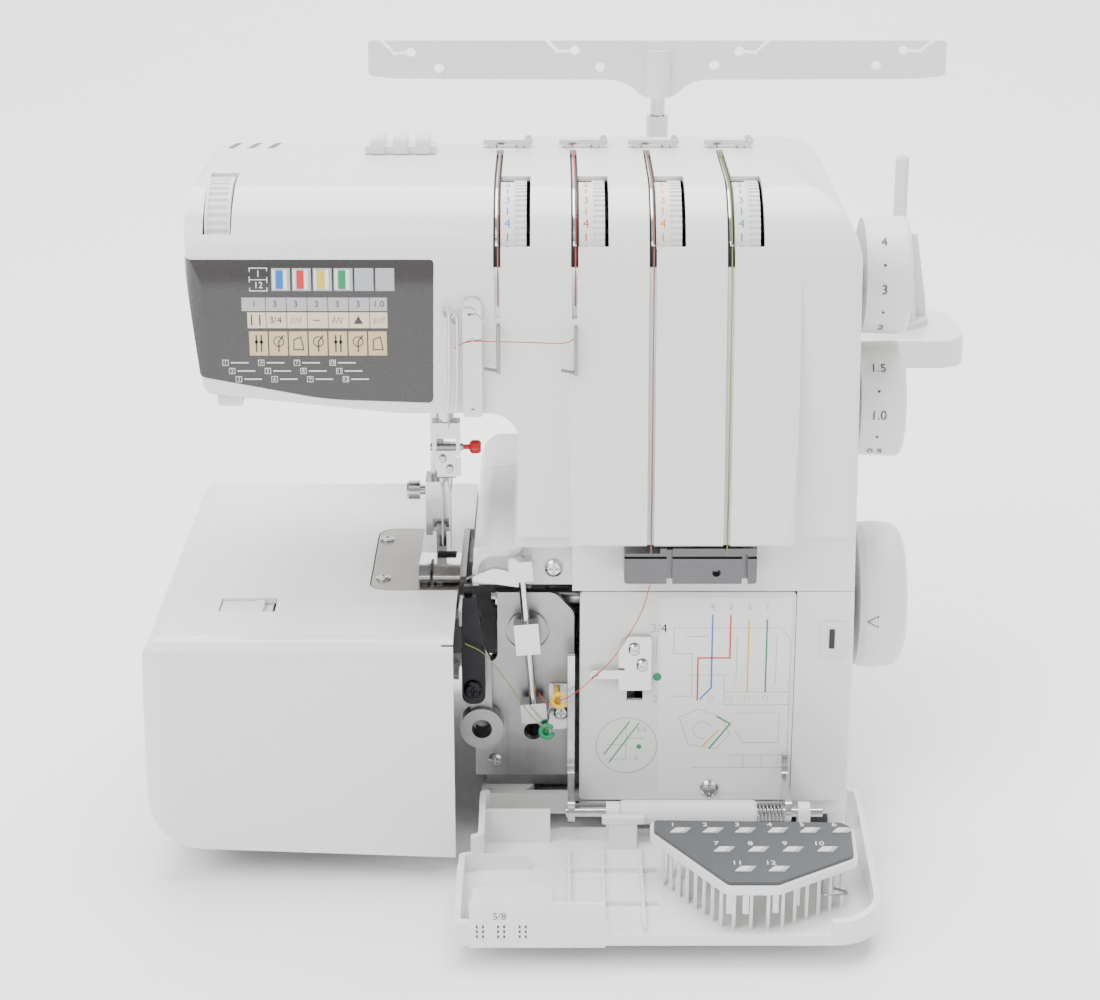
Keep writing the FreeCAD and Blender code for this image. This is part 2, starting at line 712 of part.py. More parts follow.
def presser_bar():
    """Presser bar with the foot holder and its thumb screw."""
    bar = rod(V(PRESSER_X, PRESSER_Y, 140), V(0, 0, 1), 136.0, PRESSER_BAR_R)
    holder = box(-55.0, -45.0, 7.5, 22.0, 122.0, 147.0)
    slot = box(-52.0, -43.0, 6.0, 13.0, 118.0, 130.0)
    screw = turned(
        [(0, 2.0), (3, 2.0), (3, 4.2), (8, 4.2), (9, 3.4)],
        V(-54.5, 14.0, 141.0), V(-1, 0, 0),
    )
    collar = rod(V(PRESSER_X, PRESSER_Y, 226), V(0, 0, 1), 12.0, 5.5)
    return joined([bar, holder.cut(slot), screw, collar])


def presser_foot():
    """Two-toed foot, hung on a cross pin so that it rocks."""
    sole = prism(
        [(-25.0, 114.5, 1.0), (-22.0, 110.6, 2.0), (34.0, 110.6, 1.0),
         (36.0, 113.0, 1.0), (36.0, 114.6, 0.5), (4.0, 115.0, 3.0), (-18.0, 118.0, 4.0)],
        "yz", -57.0, -39.0,
    )
    cuts = [
        box(-49.6, -41.2, -6.0, 6.0, 105, 125),
        box(-52.0, -50.6, -30.0, -8.0, 105, 125),
    ]
    sole = sole.cut(cuts)
    neck = box(-50.5, -46.0, 9.0, 12.0, 113.0, 126.0)
    pin = rod(V(-51.4, 10.5, 124.0), V(1, 0, 0), 7.0, 1.3)
    return joined([sole, neck, pin])


def presser_lever():
    """Lifting lever behind the needle, under the arm."""
    hub = rod(V(-56.5, 45.0, 206.0), V(1, 0, 0), 11.0, 5.0)
    arm = prism(
        [(40.5, 206.0, 0), (49.5, 206.0, 2.0), (54.0, 184.0, 12.0), (76.0, 170.0, 3.0),
         (73.0, 163.0, 3.0), (46.0, 178.0, 12.0)],
        "yz", -56.0, -46.0,
    )
    return joined([hub, arm])


# ---------------------------------------------------------------- loopers and knives

def rod_direction():
    """Unit vector up the upper looper's rod."""
    return (LOOPER_TOP - LOOPER_FOOT).normalize()


def upper_looper():
    """Sliding rod with its clamp, its blade and the block at its foot."""
    up = rod_direction()
    shaft = between(LOOPER_FOOT - up * 4, LOOPER_TOP + up * 4, 1.6)
    top = box(-5.0, 5.0, -4.0, 4.0, -4.5, 4.5)
    foot = box(-5.5, 5.5, -4.0, 4.0, -4.0, 5.0)
    lean = math.degrees(math.atan2(up.x, up.z))
    for block, place in ((top, LOOPER_TOP), (foot, LOOPER_FOOT)):
        block.rotate(V(0, 0, 0), V(0, 1, 0), lean)
        block.translate(place)
    blade = prism(
        [(-12.0, 118.0, 2.0), (-12.0, 124.0, 2.0), (-24.0, 127.0, 8.0),
         (-37.0, 121.0, 0.6), (-25.0, 120.0, 6.0)],
        "xz", -45.0, -42.6,
    )
    return joined([shaft, top, foot, blade])


def looper_swivel():
    """Block that the looper rod slides through; it rocks on the casting."""
    block = box(-5.2, 5.2, -3.8, 3.8, -7.0, 7.0)
    up = rod_direction()
    block.rotate(V(0, 0, 0), V(0, 1, 0), math.degrees(math.atan2(up.x, up.z)))
    block.translate(SWIVEL)
    stub = rod(V(SWIVEL.x, LOOPER_Y + 3, SWIVEL.z), V(0, 1, 0), 4.0, 4.4)
    line = LOOPER_FOOT + up * (SWIVEL - LOOPER_FOOT).dot(up)
    bore = between(line - up * 20, line + up * 20, 1.6 + FIT)
    return joined([block, stub]).cut(bore)


def lower_looper():
    """Rocking arm with a ring hub and a hooked blade below the needles."""
    hub = ring(V(LOWER_HUB.x, -46.0, LOWER_HUB.z), V(0, 1, 0), 7.4, 9.4, 4.4)
    arm = prism(
        [(-35.0, 58.0, 3.0), (-25.0, 59.0, 3.0), (-25.5, 84.0, 8.0),
         (-30.5, 96.0, 3.0), (-37.5, 96.0, 3.0), (-32.0, 82.0, 8.0)],
        "xz", -43.6, -39.4,
    )
    bridge = box(-36.5, -30.5, -43.6, -16.0, 89.5, 95.0)
    blade = prism(
        [(-30.5, 89.5, 1.0), (-30.5, 95.0, 1.0), (-44.0, 98.6, 10.0),
         (-58.0, 95.4, 0.6), (-44.0, 93.6, 8.0)],
        "xz", -18.4, -16.0,
    )
    return joined([hub, arm, bridge, blade])


def upper_knife():
    """Black knife lever with its clamp screw and cutting blade."""
    lever = prism(
        [(-37.6, 68.0, 4.0), (-27.6, 68.0, 4.0), (-27.6, 92.0, 6.0),
         (-31.0, 117.0, 1.0), (-37.0, 117.0, 1.0), (-37.6, 92.0, 8.0)],
        "xz", -54.0, -50.6,
    )
    blade = box(-36.4, -33.0, -50.8, -47.8, 100.0, 121.0)
    screw = screw_head(V(KNIFE_HUB.x, -53.9, KNIFE_HUB.z), V(0, -1, 0), 3.8, 2.6)
    return joined([lever, blade, screw])


def lower_knife():
    """Fixed knife held against the right side of the needle plate."""
    return prism(
        [(-44.0, 99.4, 1.0), (-30.6, 99.4, 1.0), (-30.6, 108.6, 0), (-46.6, 108.6, 1.0)],
        "yz", -38.9, -37.6,
    )


# ---------------------------------------------------------------- bed extension

def bed_block(inset):
    """Outer shape of the bed extension, moved in by inset."""
    front = [
        (BED_LEFT - 0.4, 15.8, 25.0), (BED_RIGHT, 10.6, 0), (BED_RIGHT, BED_TOP, 0),
        (BED_LEFT + 2.4, BED_TOP, 9.0),
    ]
    side = [
        (BED_FRONT, 4.0, 0), (BODY_BACK, 4.0, 0), (BODY_BACK, BED_TOP, 9.0),
        (BED_FRONT, BED_TOP, 9.5),
    ]
    plan = [
        (BED_LEFT - 0.4, BED_FRONT, 12.0), (BED_RIGHT, BED_FRONT, 0),
        (BED_RIGHT, BODY_BACK, 0), (BED_LEFT - 0.4, BODY_BACK, 22.0),
    ]
    block = prism(inset_outline(front, inset), "xz", -120, 160)
    block = block.common(prism(inset_outline(side, inset), "yz", -200, 10))
    return block.common(prism(inset_outline(plan, inset), "xy", 0, 130))


def bed_extension():
    """Slide-off box round the free arm, open to the right and below."""
    shell = bed_block(0.0).cut(bed_block(WALL))
    front_in, back_in = BED_FRONT + WALL, BODY_BACK - WALL
    top_in = BED_TOP - WALL
    notch = prism(
        [(PLATE_LEFT - 0.4, PLATE_FRONT - 0.4, 8.4), (-20.0, PLATE_FRONT - 0.4, 0),
         (-20.0, PLATE_BACK + 0.4, 0), (PLATE_LEFT - 0.4, PLATE_BACK + 0.4, 8.4)],
        "xy", 100, 120,
    )
    cuts = [
        box(-45, -30, front_in, back_in, 0, top_in),
        box(-146, -30, front_in + 9, back_in - 16, 0, 30),
        box(-40, -30, -100, PLATE_FRONT, 0, 120),
        notch,
        box(-140.5, -116.5, -52.0, -37.0, 100, 120),
    ]
    return shell.cut(cuts)


def release_catch():
    """Sliding catch in the bed's top that lets the extension go."""
    button = box(-140.2, -122.0, -51.7, -37.3, 106.9, 108.8)
    grip = box(-126.0, -122.0, -51.7, -37.3, 108.6, 109.4)
    flange = box(-144.0, -118.5, -54.0, -35.0, 105.0, 107.1)
    return joined([button, grip, flange])


# ---------------------------------------------------------------- hinged looper cover

CHART = [
    (43.0, -105.4, 2.0), (43.3, -96.5, 2.0), (121.0, -98.7, 2.0), (124.5, -102.8, 2.0),
    (123.1, -127.1, 3.0), (90.6, -149.5, 3.0), (70.8, -149.5, 3.0),
]

CHART_POSTS = [(50.0, -103.5), (58.0, -121.0), (118.5, -104.5), (84.0, -102.0)]
CHART_PRONGS = [
    (71.5, -146.0), (78.0, -146.5), (90.0, -145.5), (99.0, -139.5), (116.0, -129.0),
]
PRONG_FOOT = 19.5


def looper_cover():
    """Front cover of the looper bay, hinged along its lower edge, lying open."""
    plan = [
        (COVER_LEFT + 8, -62.0, 2.0), (-30.0, -96.0, 2.0), (COVER_LEFT, -98.0, 3.0),
        (COVER_LEFT, COVER_FAR, 2.0), (COVER_RIGHT, COVER_FAR, 20.0),
        (COVER_RIGHT, -60.0, 3.0), (4.0, -60.0, 0), (4.0, -62.0, 0),
    ]
    tray = prism(plan, "xy", COVER_SKIN, 32.0)
    hollow = prism(inset_outline(plan, WALL), "xy", COVER_SKIN + WALL, 40.0)
    rim = [
        (-160.0, 0.0, 0), (-50.0, 0.0, 0), (-50.0, 31.0, 0), (-74.0, 31.0, 6.0),
        (-150.0, 21.0, 4.0), (-160.0, 19.0, 0),
    ]
    tray = tray.cut(hollow).common(prism(rim, "yz", -60, 150))
    near_gap = box(-26.0, 128.0, -66.0, -55.0, COVER_SKIN + WALL, 40.0)
    far_gap = box(23.0, 112.0, -158.0, -152.0, 14.0, 40.0)
    left_gap = box(-45.0, -33.0, -118.0, -96.0, 20.0, 40.0)
    tray = tray.cut([near_gap, far_gap, left_gap])
    flange = box(-32.0, 22.0, COVER_FAR, COVER_FAR + WALL, 8.6, 28.0)
    skirt = box(-28.0, 0.0, -74.0, -71.5, COVER_SKIN + 1, 27.0)
    store = prism(
        [(-32.0, -150.0, 5.0), (2.0, -150.0, 5.0), (2.0, -131.0, 5.0),
         (-32.0, -131.0, 5.0)],
        "xy", COVER_SKIN + 1, 24.0,
    )
    store = soften(store, 2.5, at_height(24.0))
    knuckles = []
    for x0, x1 in ((24.0, 29.7), (106.0, 111.0)):
        post = box(x0, x1, HINGE_Y - 4.5, HINGE_Y + 4.5, COVER_SKIN + 1, HINGE_Z)
        eye = rod(V(x0, HINGE_Y, HINGE_Z), V(1, 0, 0), x1 - x0, 4.5)
        knuckles += [post, eye]
    posts = [box(x - 1.2, x + 1.2, y - 2.0, y + 2.0, COVER_SKIN + 1, CHART_Z - 3.0)
             for x, y in CHART_POSTS]
    posts += [box(x - 1.2, x + 1.2, y - 2.0, y + 2.0, PRONG_FOOT, CHART_Z - 3.0)
              for x, y in CHART_PRONGS]
    boss = rod(V(56.0, -116.0, COVER_SKIN + 1), V(0, 0, 1), 9.0, 4.5)
    rim_plate = prism(inset_outline(CHART, -1.6), "xy", CHART_Z - 3.5, CHART_Z - 0.02)
    cover = joined([tray, flange, skirt, store, boss, rim_plate] + knuckles + posts)
    bore = rod(V(20, HINGE_Y, HINGE_Z), V(1, 0, 0), 100, HINGE_R + FIT)
    return cover.cut(bore)


def chart_plate():
    """Dark stitch chart on the inside of the looper cover."""
    return prism(CHART, "xy", CHART_Z - 0.02, CHART_Z + 1.5)


def hinge_sleeve():
    """Sleeve on the hinge rod that pushes the cover along."""
    profile = [(0, 4.4), (1, 5.2), (57.0, 5.2), (58.3, 4.4)]
    sleeve = turned(profile, V(30.0, HINGE_Y, HINGE_Z), V(1, 0, 0))
    return sleeve.cut(rod(V(20, HINGE_Y, HINGE_Z), V(1, 0, 0), 100, HINGE_R + FIT))


def return_spring():
    """Coil spring between the sleeve and the right bracket."""
    turns, length = 7, 11.0
    helix = Part.makeHelix(length / turns, length, 3.3)
    start = Part.Wire(Part.Circle(V(3.3, 0, 0), V(0, 1, 0), 0.45).toShape())
    coil = Part.Wire(helix.Edges).makePipeShell([start], True, True)
    coil.rotate(V(0, 0, 0), V(0, 1, 0), 90)
    coil.translate(V(88.75, HINGE_Y, HINGE_Z))
    return coil


def cover_hinge_rod():
    """Steel rod that the cover turns on."""
    return rod(V(6.8, HINGE_Y, HINGE_Z), V(1, 0, 0), 109.7, HINGE_R)


def hinge_brackets():
    """Two steel brackets from the body to the hinge rod."""
    pieces = []
    for x0, x1, top in ((7.6, 10.6, 89.0), (100.6, 103.2, 42.0)):
        side = prism(
            [(-46.2, 14.0, 0), (-46.2, top, 1.0), (-49.0, top, 1.0), (-49.0, 34.0, 4.0),
             (HINGE_Y, HINGE_Z + 4.6, 4.0), (HINGE_Y - 4.6, HINGE_Z, 4.0),
             (HINGE_Y, HINGE_Z - 4.6, 4.0), (-56.0, 14.0, 4.0)],
            "yz", x0, x1,
        )
        pieces.append(side.cut(
            rod(V(x0 - 1, HINGE_Y, HINGE_Z), V(1, 0, 0), x1 - x0 + 2, HINGE_R)))
    pieces.append(box(10.6, 100.6, -49.0, -46.2, 14.0, 18.0))
    pieces.append(box(29.0, 100.6, -62.0, -48.0, 16.2, 17.6))
    return joined(pieces)


# ---------------------------------------------------------------- thread path metal

def looper_thread_guide():
    """Dark plated block under the raised panel that leads the looper threads."""
    block = prism(
        [(31.0, 125.0, 1.5), (86.5, 125.0, 1.5), (86.5, 138.0, 1.5), (31.0, 138.0, 1.5)],
        "xz", -58.0, LOW_FRONT,
    )
    cuts = [box(x - 1.2, x + 1.2, -60, -52, 120, 140) for x in (50.0, 81.5)]
    cuts.append(rod(V(69.6, -60, 130.0), V(0, 1, 0), 5.0, 1.8))
    cuts.append(box(28.0, 90.0, -60.0, -56.6, 136.2, 140.0))
    cap = box(46.0, 86.5, -57.0, -47.0, 137.9, 140.4)
    return joined([block.cut(cuts), cap.cut(box(48.8, 51.2, -60, -50, 130, 145))])


def guide_bracket():
    """Steel looper thread selector with its eye arm and two screws."""
    plate = prism(
        [(29.4, 72.0, 1.5), (43.4, 72.0, 1.5), (43.4, 97.0, 1.5), (33.0, 97.0, 1.5),
         (29.4, 92.0, 1.5)],
        "xz", -49.0, -46.3,
    )
    arm = prism(
        [(17.0, 78.0, 2.0), (32.0, 78.0, 0), (32.0, 82.0, 0), (17.0, 82.0, 2.0)],
        "xz", -50.4, -48.2,
    )
    stem = box(33.6, 39.4, -46.5, -40.6, 80.0, 91.0)
    keeper = box(31.0, 42.0, -43.2, -40.6, 79.0, 91.4)
    screws = [screw_head(V(x, -48.98, z), V(0, -1, 0), 2.6, 2.0)
              for x, z in ((36.0, 91.4), (39.5, 84.0))]
    hole = rod(V(20.0, -52, 80.0), V(0, 1, 0), 6, 0.8)
    return joined([plate, arm, stem, keeper] + screws).cut(hole)


def top_thread_guides():
    """Four flat guide bars on the top cover, curled at the right."""
    pieces = []
    for x0, x1 in ((-29.0, -9.0), (4.0, 23.6), (34.0, 54.6), (67.0, 87.0)):
        bar = box(x0, x1, 45.0, 50.0, TOP + 1.4, TOP + 2.6)
        post = rod(V(x0 + 4.0, 47.5, TOP), V(0, 0, 1), 1.5, 2.2)
        post2 = rod(V(x1 - 4.0, 47.5, TOP), V(0, 0, 1), 1.5, 2.2)
        curl = ring(V(x1 - 0.4, 45.0, TOP + 2.9), V(0, 1, 0), 5.0, 1.9, 0.9)
        pieces.append(joined([bar, post, post2, curl]))
    return Part.makeCompound(pieces)


def thread_hooks():
    """Two wire hooks on the front cover, bent to the left at the foot."""
    pieces = []
    for x, skin in zip(SLOT_X[:2], (ARM_FRONT, ARM_FRONT - 2.5)):
        top, low, tip = 236.0, 216.0, 6.0
        proud = skin - 4.6
        centre = x + 0.5
        stem = rod(V(centre, proud, low), V(0, 0, 1), top - low, 0.85)
        root = between(V(centre, skin, top - 1.0), V(centre, proud, top - 1.0), 0.75)
        hook = between(V(centre, proud, low + 1.0), V(centre - tip, proud, low + 2.2), 0.75)
        pieces.append(joined([stem, root, hook]))
    return Part.makeCompound(pieces)


def cover_screws():
    """Visible cross-head screws of the plates and covers."""
    places = [
        (V(-74.0, 33.0, BED_TOP), V(0, 0, 1), 3.2, 1.2),
        (V(-72.8, -14.5, BED_TOP), V(0, 0, 1), 3.2, 1.2),
        (V(69.5, LOW_FRONT, 24.4), V(0, -1, 0), 4.0, 2.2),
        (V(1.6, -38.5, 124.7), V(0, -1, 0), 3.8, 2.0),
        (V(4.8, -38.0, 57.2), V(0, -1, 0), 3.4, 2.2),
        (V(-24.0, -38.0, 34.0), V(0, -1, 0), 3.0, 2.0),
        (V(20.0, BODY_BACK, 30.0), V(0, 1, 0), 3.4, 2.0),
        (V(84.0, BODY_BACK, 30.0), V(0, 1, 0), 3.4, 2.0),
        (V(-20.0, BODY_BACK, 100.0), V(0, 1, 0), 3.4, 2.0),
    ]
    return Part.makeCompound([screw_head(*place) for place in places])


# ---------------------------------------------------------------- dials and wheels

def thumbwheel(left, ribs):
    """Wheel on the X axis: number band on the left and a ribbed rim on the right."""
    band = 5.4
    wheel = rod(V(left, DIAL_Y, DIAL_Z), V(1, 0, 0), DIAL_WIDTH, DIAL_R - 0.7)
    rim = rod(V(left + band, DIAL_Y, DIAL_Z), V(1, 0, 0), DIAL_WIDTH - band, DIAL_R)
    cuts = []
    for i in range(ribs):
        angle = 2 * math.pi * i / ribs
        spot = V(left + band + 0.5, DIAL_Y + math.cos(angle) * DIAL_R,
                 DIAL_Z + math.sin(angle) * DIAL_R)
        cuts.append(rod(spot, V(1, 0, 0), DIAL_WIDTH, 0.75))
    bore = rod(V(left - 1, DIAL_Y, DIAL_Z), V(1, 0, 0), DIAL_WIDTH + 2, 4.0)
    return joined([wheel, rim]).cut(cuts + [bore])


def program_wheel():
    """Ribbed thumbwheel of the program display."""
    left, width, ribs = WHEEL_LEFT, DIAL_WIDTH, 44
    wheel = rod(V(left, WHEEL_Y, WHEEL_Z), V(1, 0, 0), width, DIAL_R)
    cuts = []
    for i in range(ribs):
        angle = 2 * math.pi * i / ribs
        spot = V(left + 1.2, WHEEL_Y + math.cos(angle) * (DIAL_R + 0.4),
                 WHEEL_Z + math.sin(angle) * (DIAL_R + 0.4))
        cuts.append(rod(spot, V(1, 0, 0), width - 2.4, 1.3))
    bore = rod(V(left - 1, WHEEL_Y, WHEEL_Z), V(1, 0, 0), width + 2, 4.0)
    return wheel.cut(cuts + [bore])


def side_dial(z):
    """Round setting dial on the right side, with its hub through the cover."""
    length = SIDE_DIAL_RIGHT - SIDE_DIAL_LEFT
    profile = [
        (0, SIDE_DIAL_R - 0.6), (length - 2.0, SIDE_DIAL_R),
        (length - 0.6, SIDE_DIAL_R - 0.7), (length, SIDE_DIAL_R - 2.4),
    ]
    knob = turned(profile, V(SIDE_DIAL_LEFT, 0, z), V(1, 0, 0))
    hub = rod(V(112, 0, z), V(1, 0, 0), 22, 8.0)
    return joined([knob, hub])


def handwheel():
    """Handwheel with a rounded rim and a dished face."""
    length = HANDWHEEL_RIGHT - HANDWHEEL_LEFT
    profile = [
        (0, HANDWHEEL_R - 1.6), (3.0, HANDWHEEL_R - 0.4), (8.0, HANDWHEEL_R),
        (length - 5.0, HANDWHEEL_R - 0.9), (length - 2.0, HANDWHEEL_R - 2.8),
        (length - 0.4, HANDWHEEL_R - 6.4), (length, HANDWHEEL_R - 9.0),
    ]
    wheel = turned(profile, V(HANDWHEEL_LEFT, 0, SHAFT_Z), V(1, 0, 0))
    return wheel.cut(rod(V(130, 0, SHAFT_Z), V(1, 0, 0), 18, SHAFT_R))


def main_shaft():
    """Main shaft with its crank collars."""
    shaft = rod(V(-26.0, 0, SHAFT_Z), V(1, 0, 0), 174.0, SHAFT_R)
    collars = [rod(V(x, 0, SHAFT_Z), V(1, 0, 0), 8.0, 11.0) for x in (-24.0, 20.0, 60.0)]
    return joined([shaft] + collars)


def main_pulley():
    """Belt pulley on the main shaft, flanged on both sides."""
    wheel = turned(
        [(0, 30.5), (1.4, 30.5), (1.4, 28.0), (10.6, 28.0), (10.6, 30.5), (12.0, 30.5)],
        V(110.0, 0, SHAFT_Z), V(1, 0, 0),
    )
    return wheel.cut(rod(V(100, 0, SHAFT_Z), V(1, 0, 0), 30, SHAFT_R))


def motor_pulley():
    """Small belt pulley on the motor shaft."""
    return turned(
        [(0, 3.0), (14.5, 3.0), (14.5, 9.0), (23.5, 9.0), (23.5, 11.0), (25.0, 11.0)],
        V(96.4, 62, 58), V(1, 0, 0),
    )


def top_slider():
    """Three-lobed slider on top of the arm, with its tongue through the slot."""
    lobes = []
    for x in (-74.0, -64.4, -54.8):
        lobe = prism(
            [(31.0, TOP + 0.3, 0), (45.0, TOP + 0.3, 0), (45.0, TOP + 8.0, 4.0),
             (31.0, TOP + 8.0, 4.0)],
            "yz", x - 3.0, x + 3.0,
        )
        lobes.append(lobe)
    base = box(-79.6, -49.2, 32.0, 44.0, TOP + 0.3, TOP + 3.4)
    tongue = box(-66.0, -62.0, 36.4, 39.6, TOP - 6.0, TOP + 1.0)
    keeper = box(-68.0, -60.0, 33.0, 43.0, TOP - 6.0, TOP - 3.0)
    return joined(lobes + [base, tongue, keeper])


def power_switch():
    """Rocker switch above the inlet, bored for its upright pivot."""
    rocker = prism(
        [(60.0, 60.0, 0.5), (80.0, 60.0, 0.5), (80.0, 73.0, 0.5), (60.0, 73.0, 0.5)],
        "yz", 124.6, 134.6,
    )
    return rocker.cut(rod(V(128.0, 70.0, 59.0), V(0, 0, 1), 15.0, 1.2))


# ---------------------------------------------------------------- spool stand

def tray_outline(inset):
    """Plan of the spool tray: straight front, well rounded back corners."""
    left, right = TRAY_X - TRAY_HALF, TRAY_X + TRAY_HALF
    outline = [
        (left, TRAY_FRONT, 14.0), (right, TRAY_FRONT, 14.0),
        (right, TRAY_BACK, 30.0), (left, TRAY_BACK, 30.0),
    ]
    return inset_outline(outline, inset)


def spool_tray():
    """Spool tray, hollow below, with two brackets on the back cover."""
    tray = prism(tray_outline(0.0), "xy", TRAY_TOP - TRAY_THICK, TRAY_TOP)
    tray = soften(tray, 2.4, at_height(TRAY_TOP))
    under = prism(tray_outline(3.0), "xy", TRAY_TOP - TRAY_THICK, TRAY_TOP - 3.0)
    tray = tray.cut(under)
    parts = [tray]
    for x in (12.0, 84.0):
        parts.append(prism(
            [(TRAY_FRONT, 126.0, 0), (TRAY_FRONT, 178.0, 0), (172.0, 178.0, 0),
             (168.0, 167.0, 6.0), (126.0, 128.0, 8.0)],
            "yz", x, x + 6.0,
        ))
    parts.append(box(12.0, 90.0, TRAY_FRONT, TRAY_FRONT + 4.0, 126.0, 178.0))
    parts.append(rod(V(TRAY_X, TRAY_Y, 168.0), V(0, 0, 1), 10.0, 9.0))
    for x in PIN_X:
        parts.append(rod(V(x, TRAY_Y, 168.0), V(0, 0, 1), 10.0, 7.0))
    whole = joined(parts)
    holes = [rod(V(x, TRAY_Y, 169.0), V(0, 0, 1), 20.0, SHANK_R) for x in PIN_X]
    holes.append(rod(V(TRAY_X, TRAY_Y, 169.0), V(0, 0, 1), 20.0, 5.2))
    return whole.cut(holes)


def spool_pins():
    """Four spool pins with a thicker shank and rounded tips."""
    pins = []
    for x in PIN_X:
        base = TRAY_TOP - 11.0
        length = PIN_TIP - base
        neck = length - 2.4
        profile = [
            (0, SHANK_R), (neck - PIN_LENGTH, SHANK_R), (neck - PIN_LENGTH, PIN_R),
            (neck, PIN_R), (length - 0.8, PIN_R - 1.0), (length, PIN_R - 2.4),
        ]
        pins.append(turned(profile, V(x, TRAY_Y, base), V(0, 0, 1)))
    return Part.makeCompound(pins)


def cone_holders():
    """Tapered cone holders pushed over the pins, finned to grip the cone."""
    holders = []
    for x in PIN_X:
        core = turned(
            [(0, 16.0), (3.0, 16.0), (3.0, 9.0), (44.0, 6.4)],
            V(x, TRAY_Y, TRAY_TOP), V(0, 0, 1),
        )
        fins = []
        for i in range(6):
            fin = prism(
                [(0.0, TRAY_TOP + 1, 0), (15.0, TRAY_TOP + 1, 0),
                 (14.6, TRAY_TOP + 10, 2.0), (9.0, TRAY_TOP + 44, 1.0),
                 (0.0, TRAY_TOP + 44, 0)],
                "xz", -0.8, 0.8,
            )
            fin.rotate(V(0, 0, 0), V(0, 0, 1), 60.0 * i)
            fin.translate(V(x, TRAY_Y, 0))
            fins.append(fin)
        bore = rod(V(x, TRAY_Y, TRAY_TOP - 1), V(0, 0, 1), 60, SHANK_R + FIT)
        holders.append(joined([core] + fins).cut(bore))
    return Part.makeCompound(holders)


def antenna_tube():
    """Outer tube of the telescopic pole, fixed in the tray."""
    return ring(V(TRAY_X, TRAY_Y, 169.0), V(0, 0, 1), 113.0, 5.2, POLE_R + FIT)


def antenna_pole():
    """Inner pole that carries the thread guide bar."""
    return rod(V(TRAY_X, TRAY_Y, 172.0), V(0, 0, 1), 125.0, POLE_R)


GUIDE_HOLES = [
    (-65.6, 311.8, -1), (-52.5, 304.3, 0), (11.8, 312.8, -1), (23.7, 304.8, 0),
    (77.6, 305.7, 0), (89.2, 312.3, 1), (154.2, 305.7, 0), (166.7, 312.8, 1),
]


def guide_bar():
    """Flat thread guide bar with eight eyes, four of them open to the top."""
    left, right = TRAY_X - BAR_HALF - 0.6, TRAY_X + BAR_HALF - 0.6
    outline = [
        (left, BAR_TOP, 2.0), (left, 301.0, 2.0), (left + 12, BAR_BOTTOM + 1.5, 10.0),
        (TRAY_X - 16, BAR_BOTTOM + 1.0, 20.0), (TRAY_X - 7.5, 291.0, 4.0),
        (TRAY_X + 7.5, 291.0, 4.0), (TRAY_X + 16, BAR_BOTTOM + 1.0, 20.0),
        (right - 12, BAR_BOTTOM + 1.5, 10.0), (right, 301.0, 2.0), (right, BAR_TOP, 2.0),
    ]
    bar = prism(outline, "xz", TRAY_Y - 1.6, TRAY_Y + 1.6)
    rim = box(left + 1, right - 1, TRAY_Y + 1.5, TRAY_Y + 5.0, BAR_TOP - 2.4, BAR_TOP - 0.4)
    hub = rod(V(TRAY_X, TRAY_Y, 291.0), V(0, 0, 1), 22.0, 6.5)
    cuts = []
    for x, z, side in GUIDE_HOLES:
        cuts.append(rod(V(x, TRAY_Y - 12, z), V(0, 1, 0), 24, 2.3))
        if side:
            mid = V(x + side * 8.0, TRAY_Y, z - 0.6)
            end = V(x + side * 15.0, TRAY_Y, BAR_TOP + 1.5)
            for a, b in ((V(x, TRAY_Y, z), mid), (mid, end)):
                way = (b - a).normalize()
                across = way.cross(V(0, 1, 0)) * 0.8
                corners = [a - across, a + across, b + across + way, b - across + way]
                cuts.append(prism(
                    [(c.x, c.z, 0) for c in corners], "xz", TRAY_Y - 12, TRAY_Y + 12))
    bore = rod(V(TRAY_X, TRAY_Y, 280), V(0, 0, 1), 17.2, POLE_R + FIT)
    return joined([bar, rim, hub]).cut(cuts + [bore])


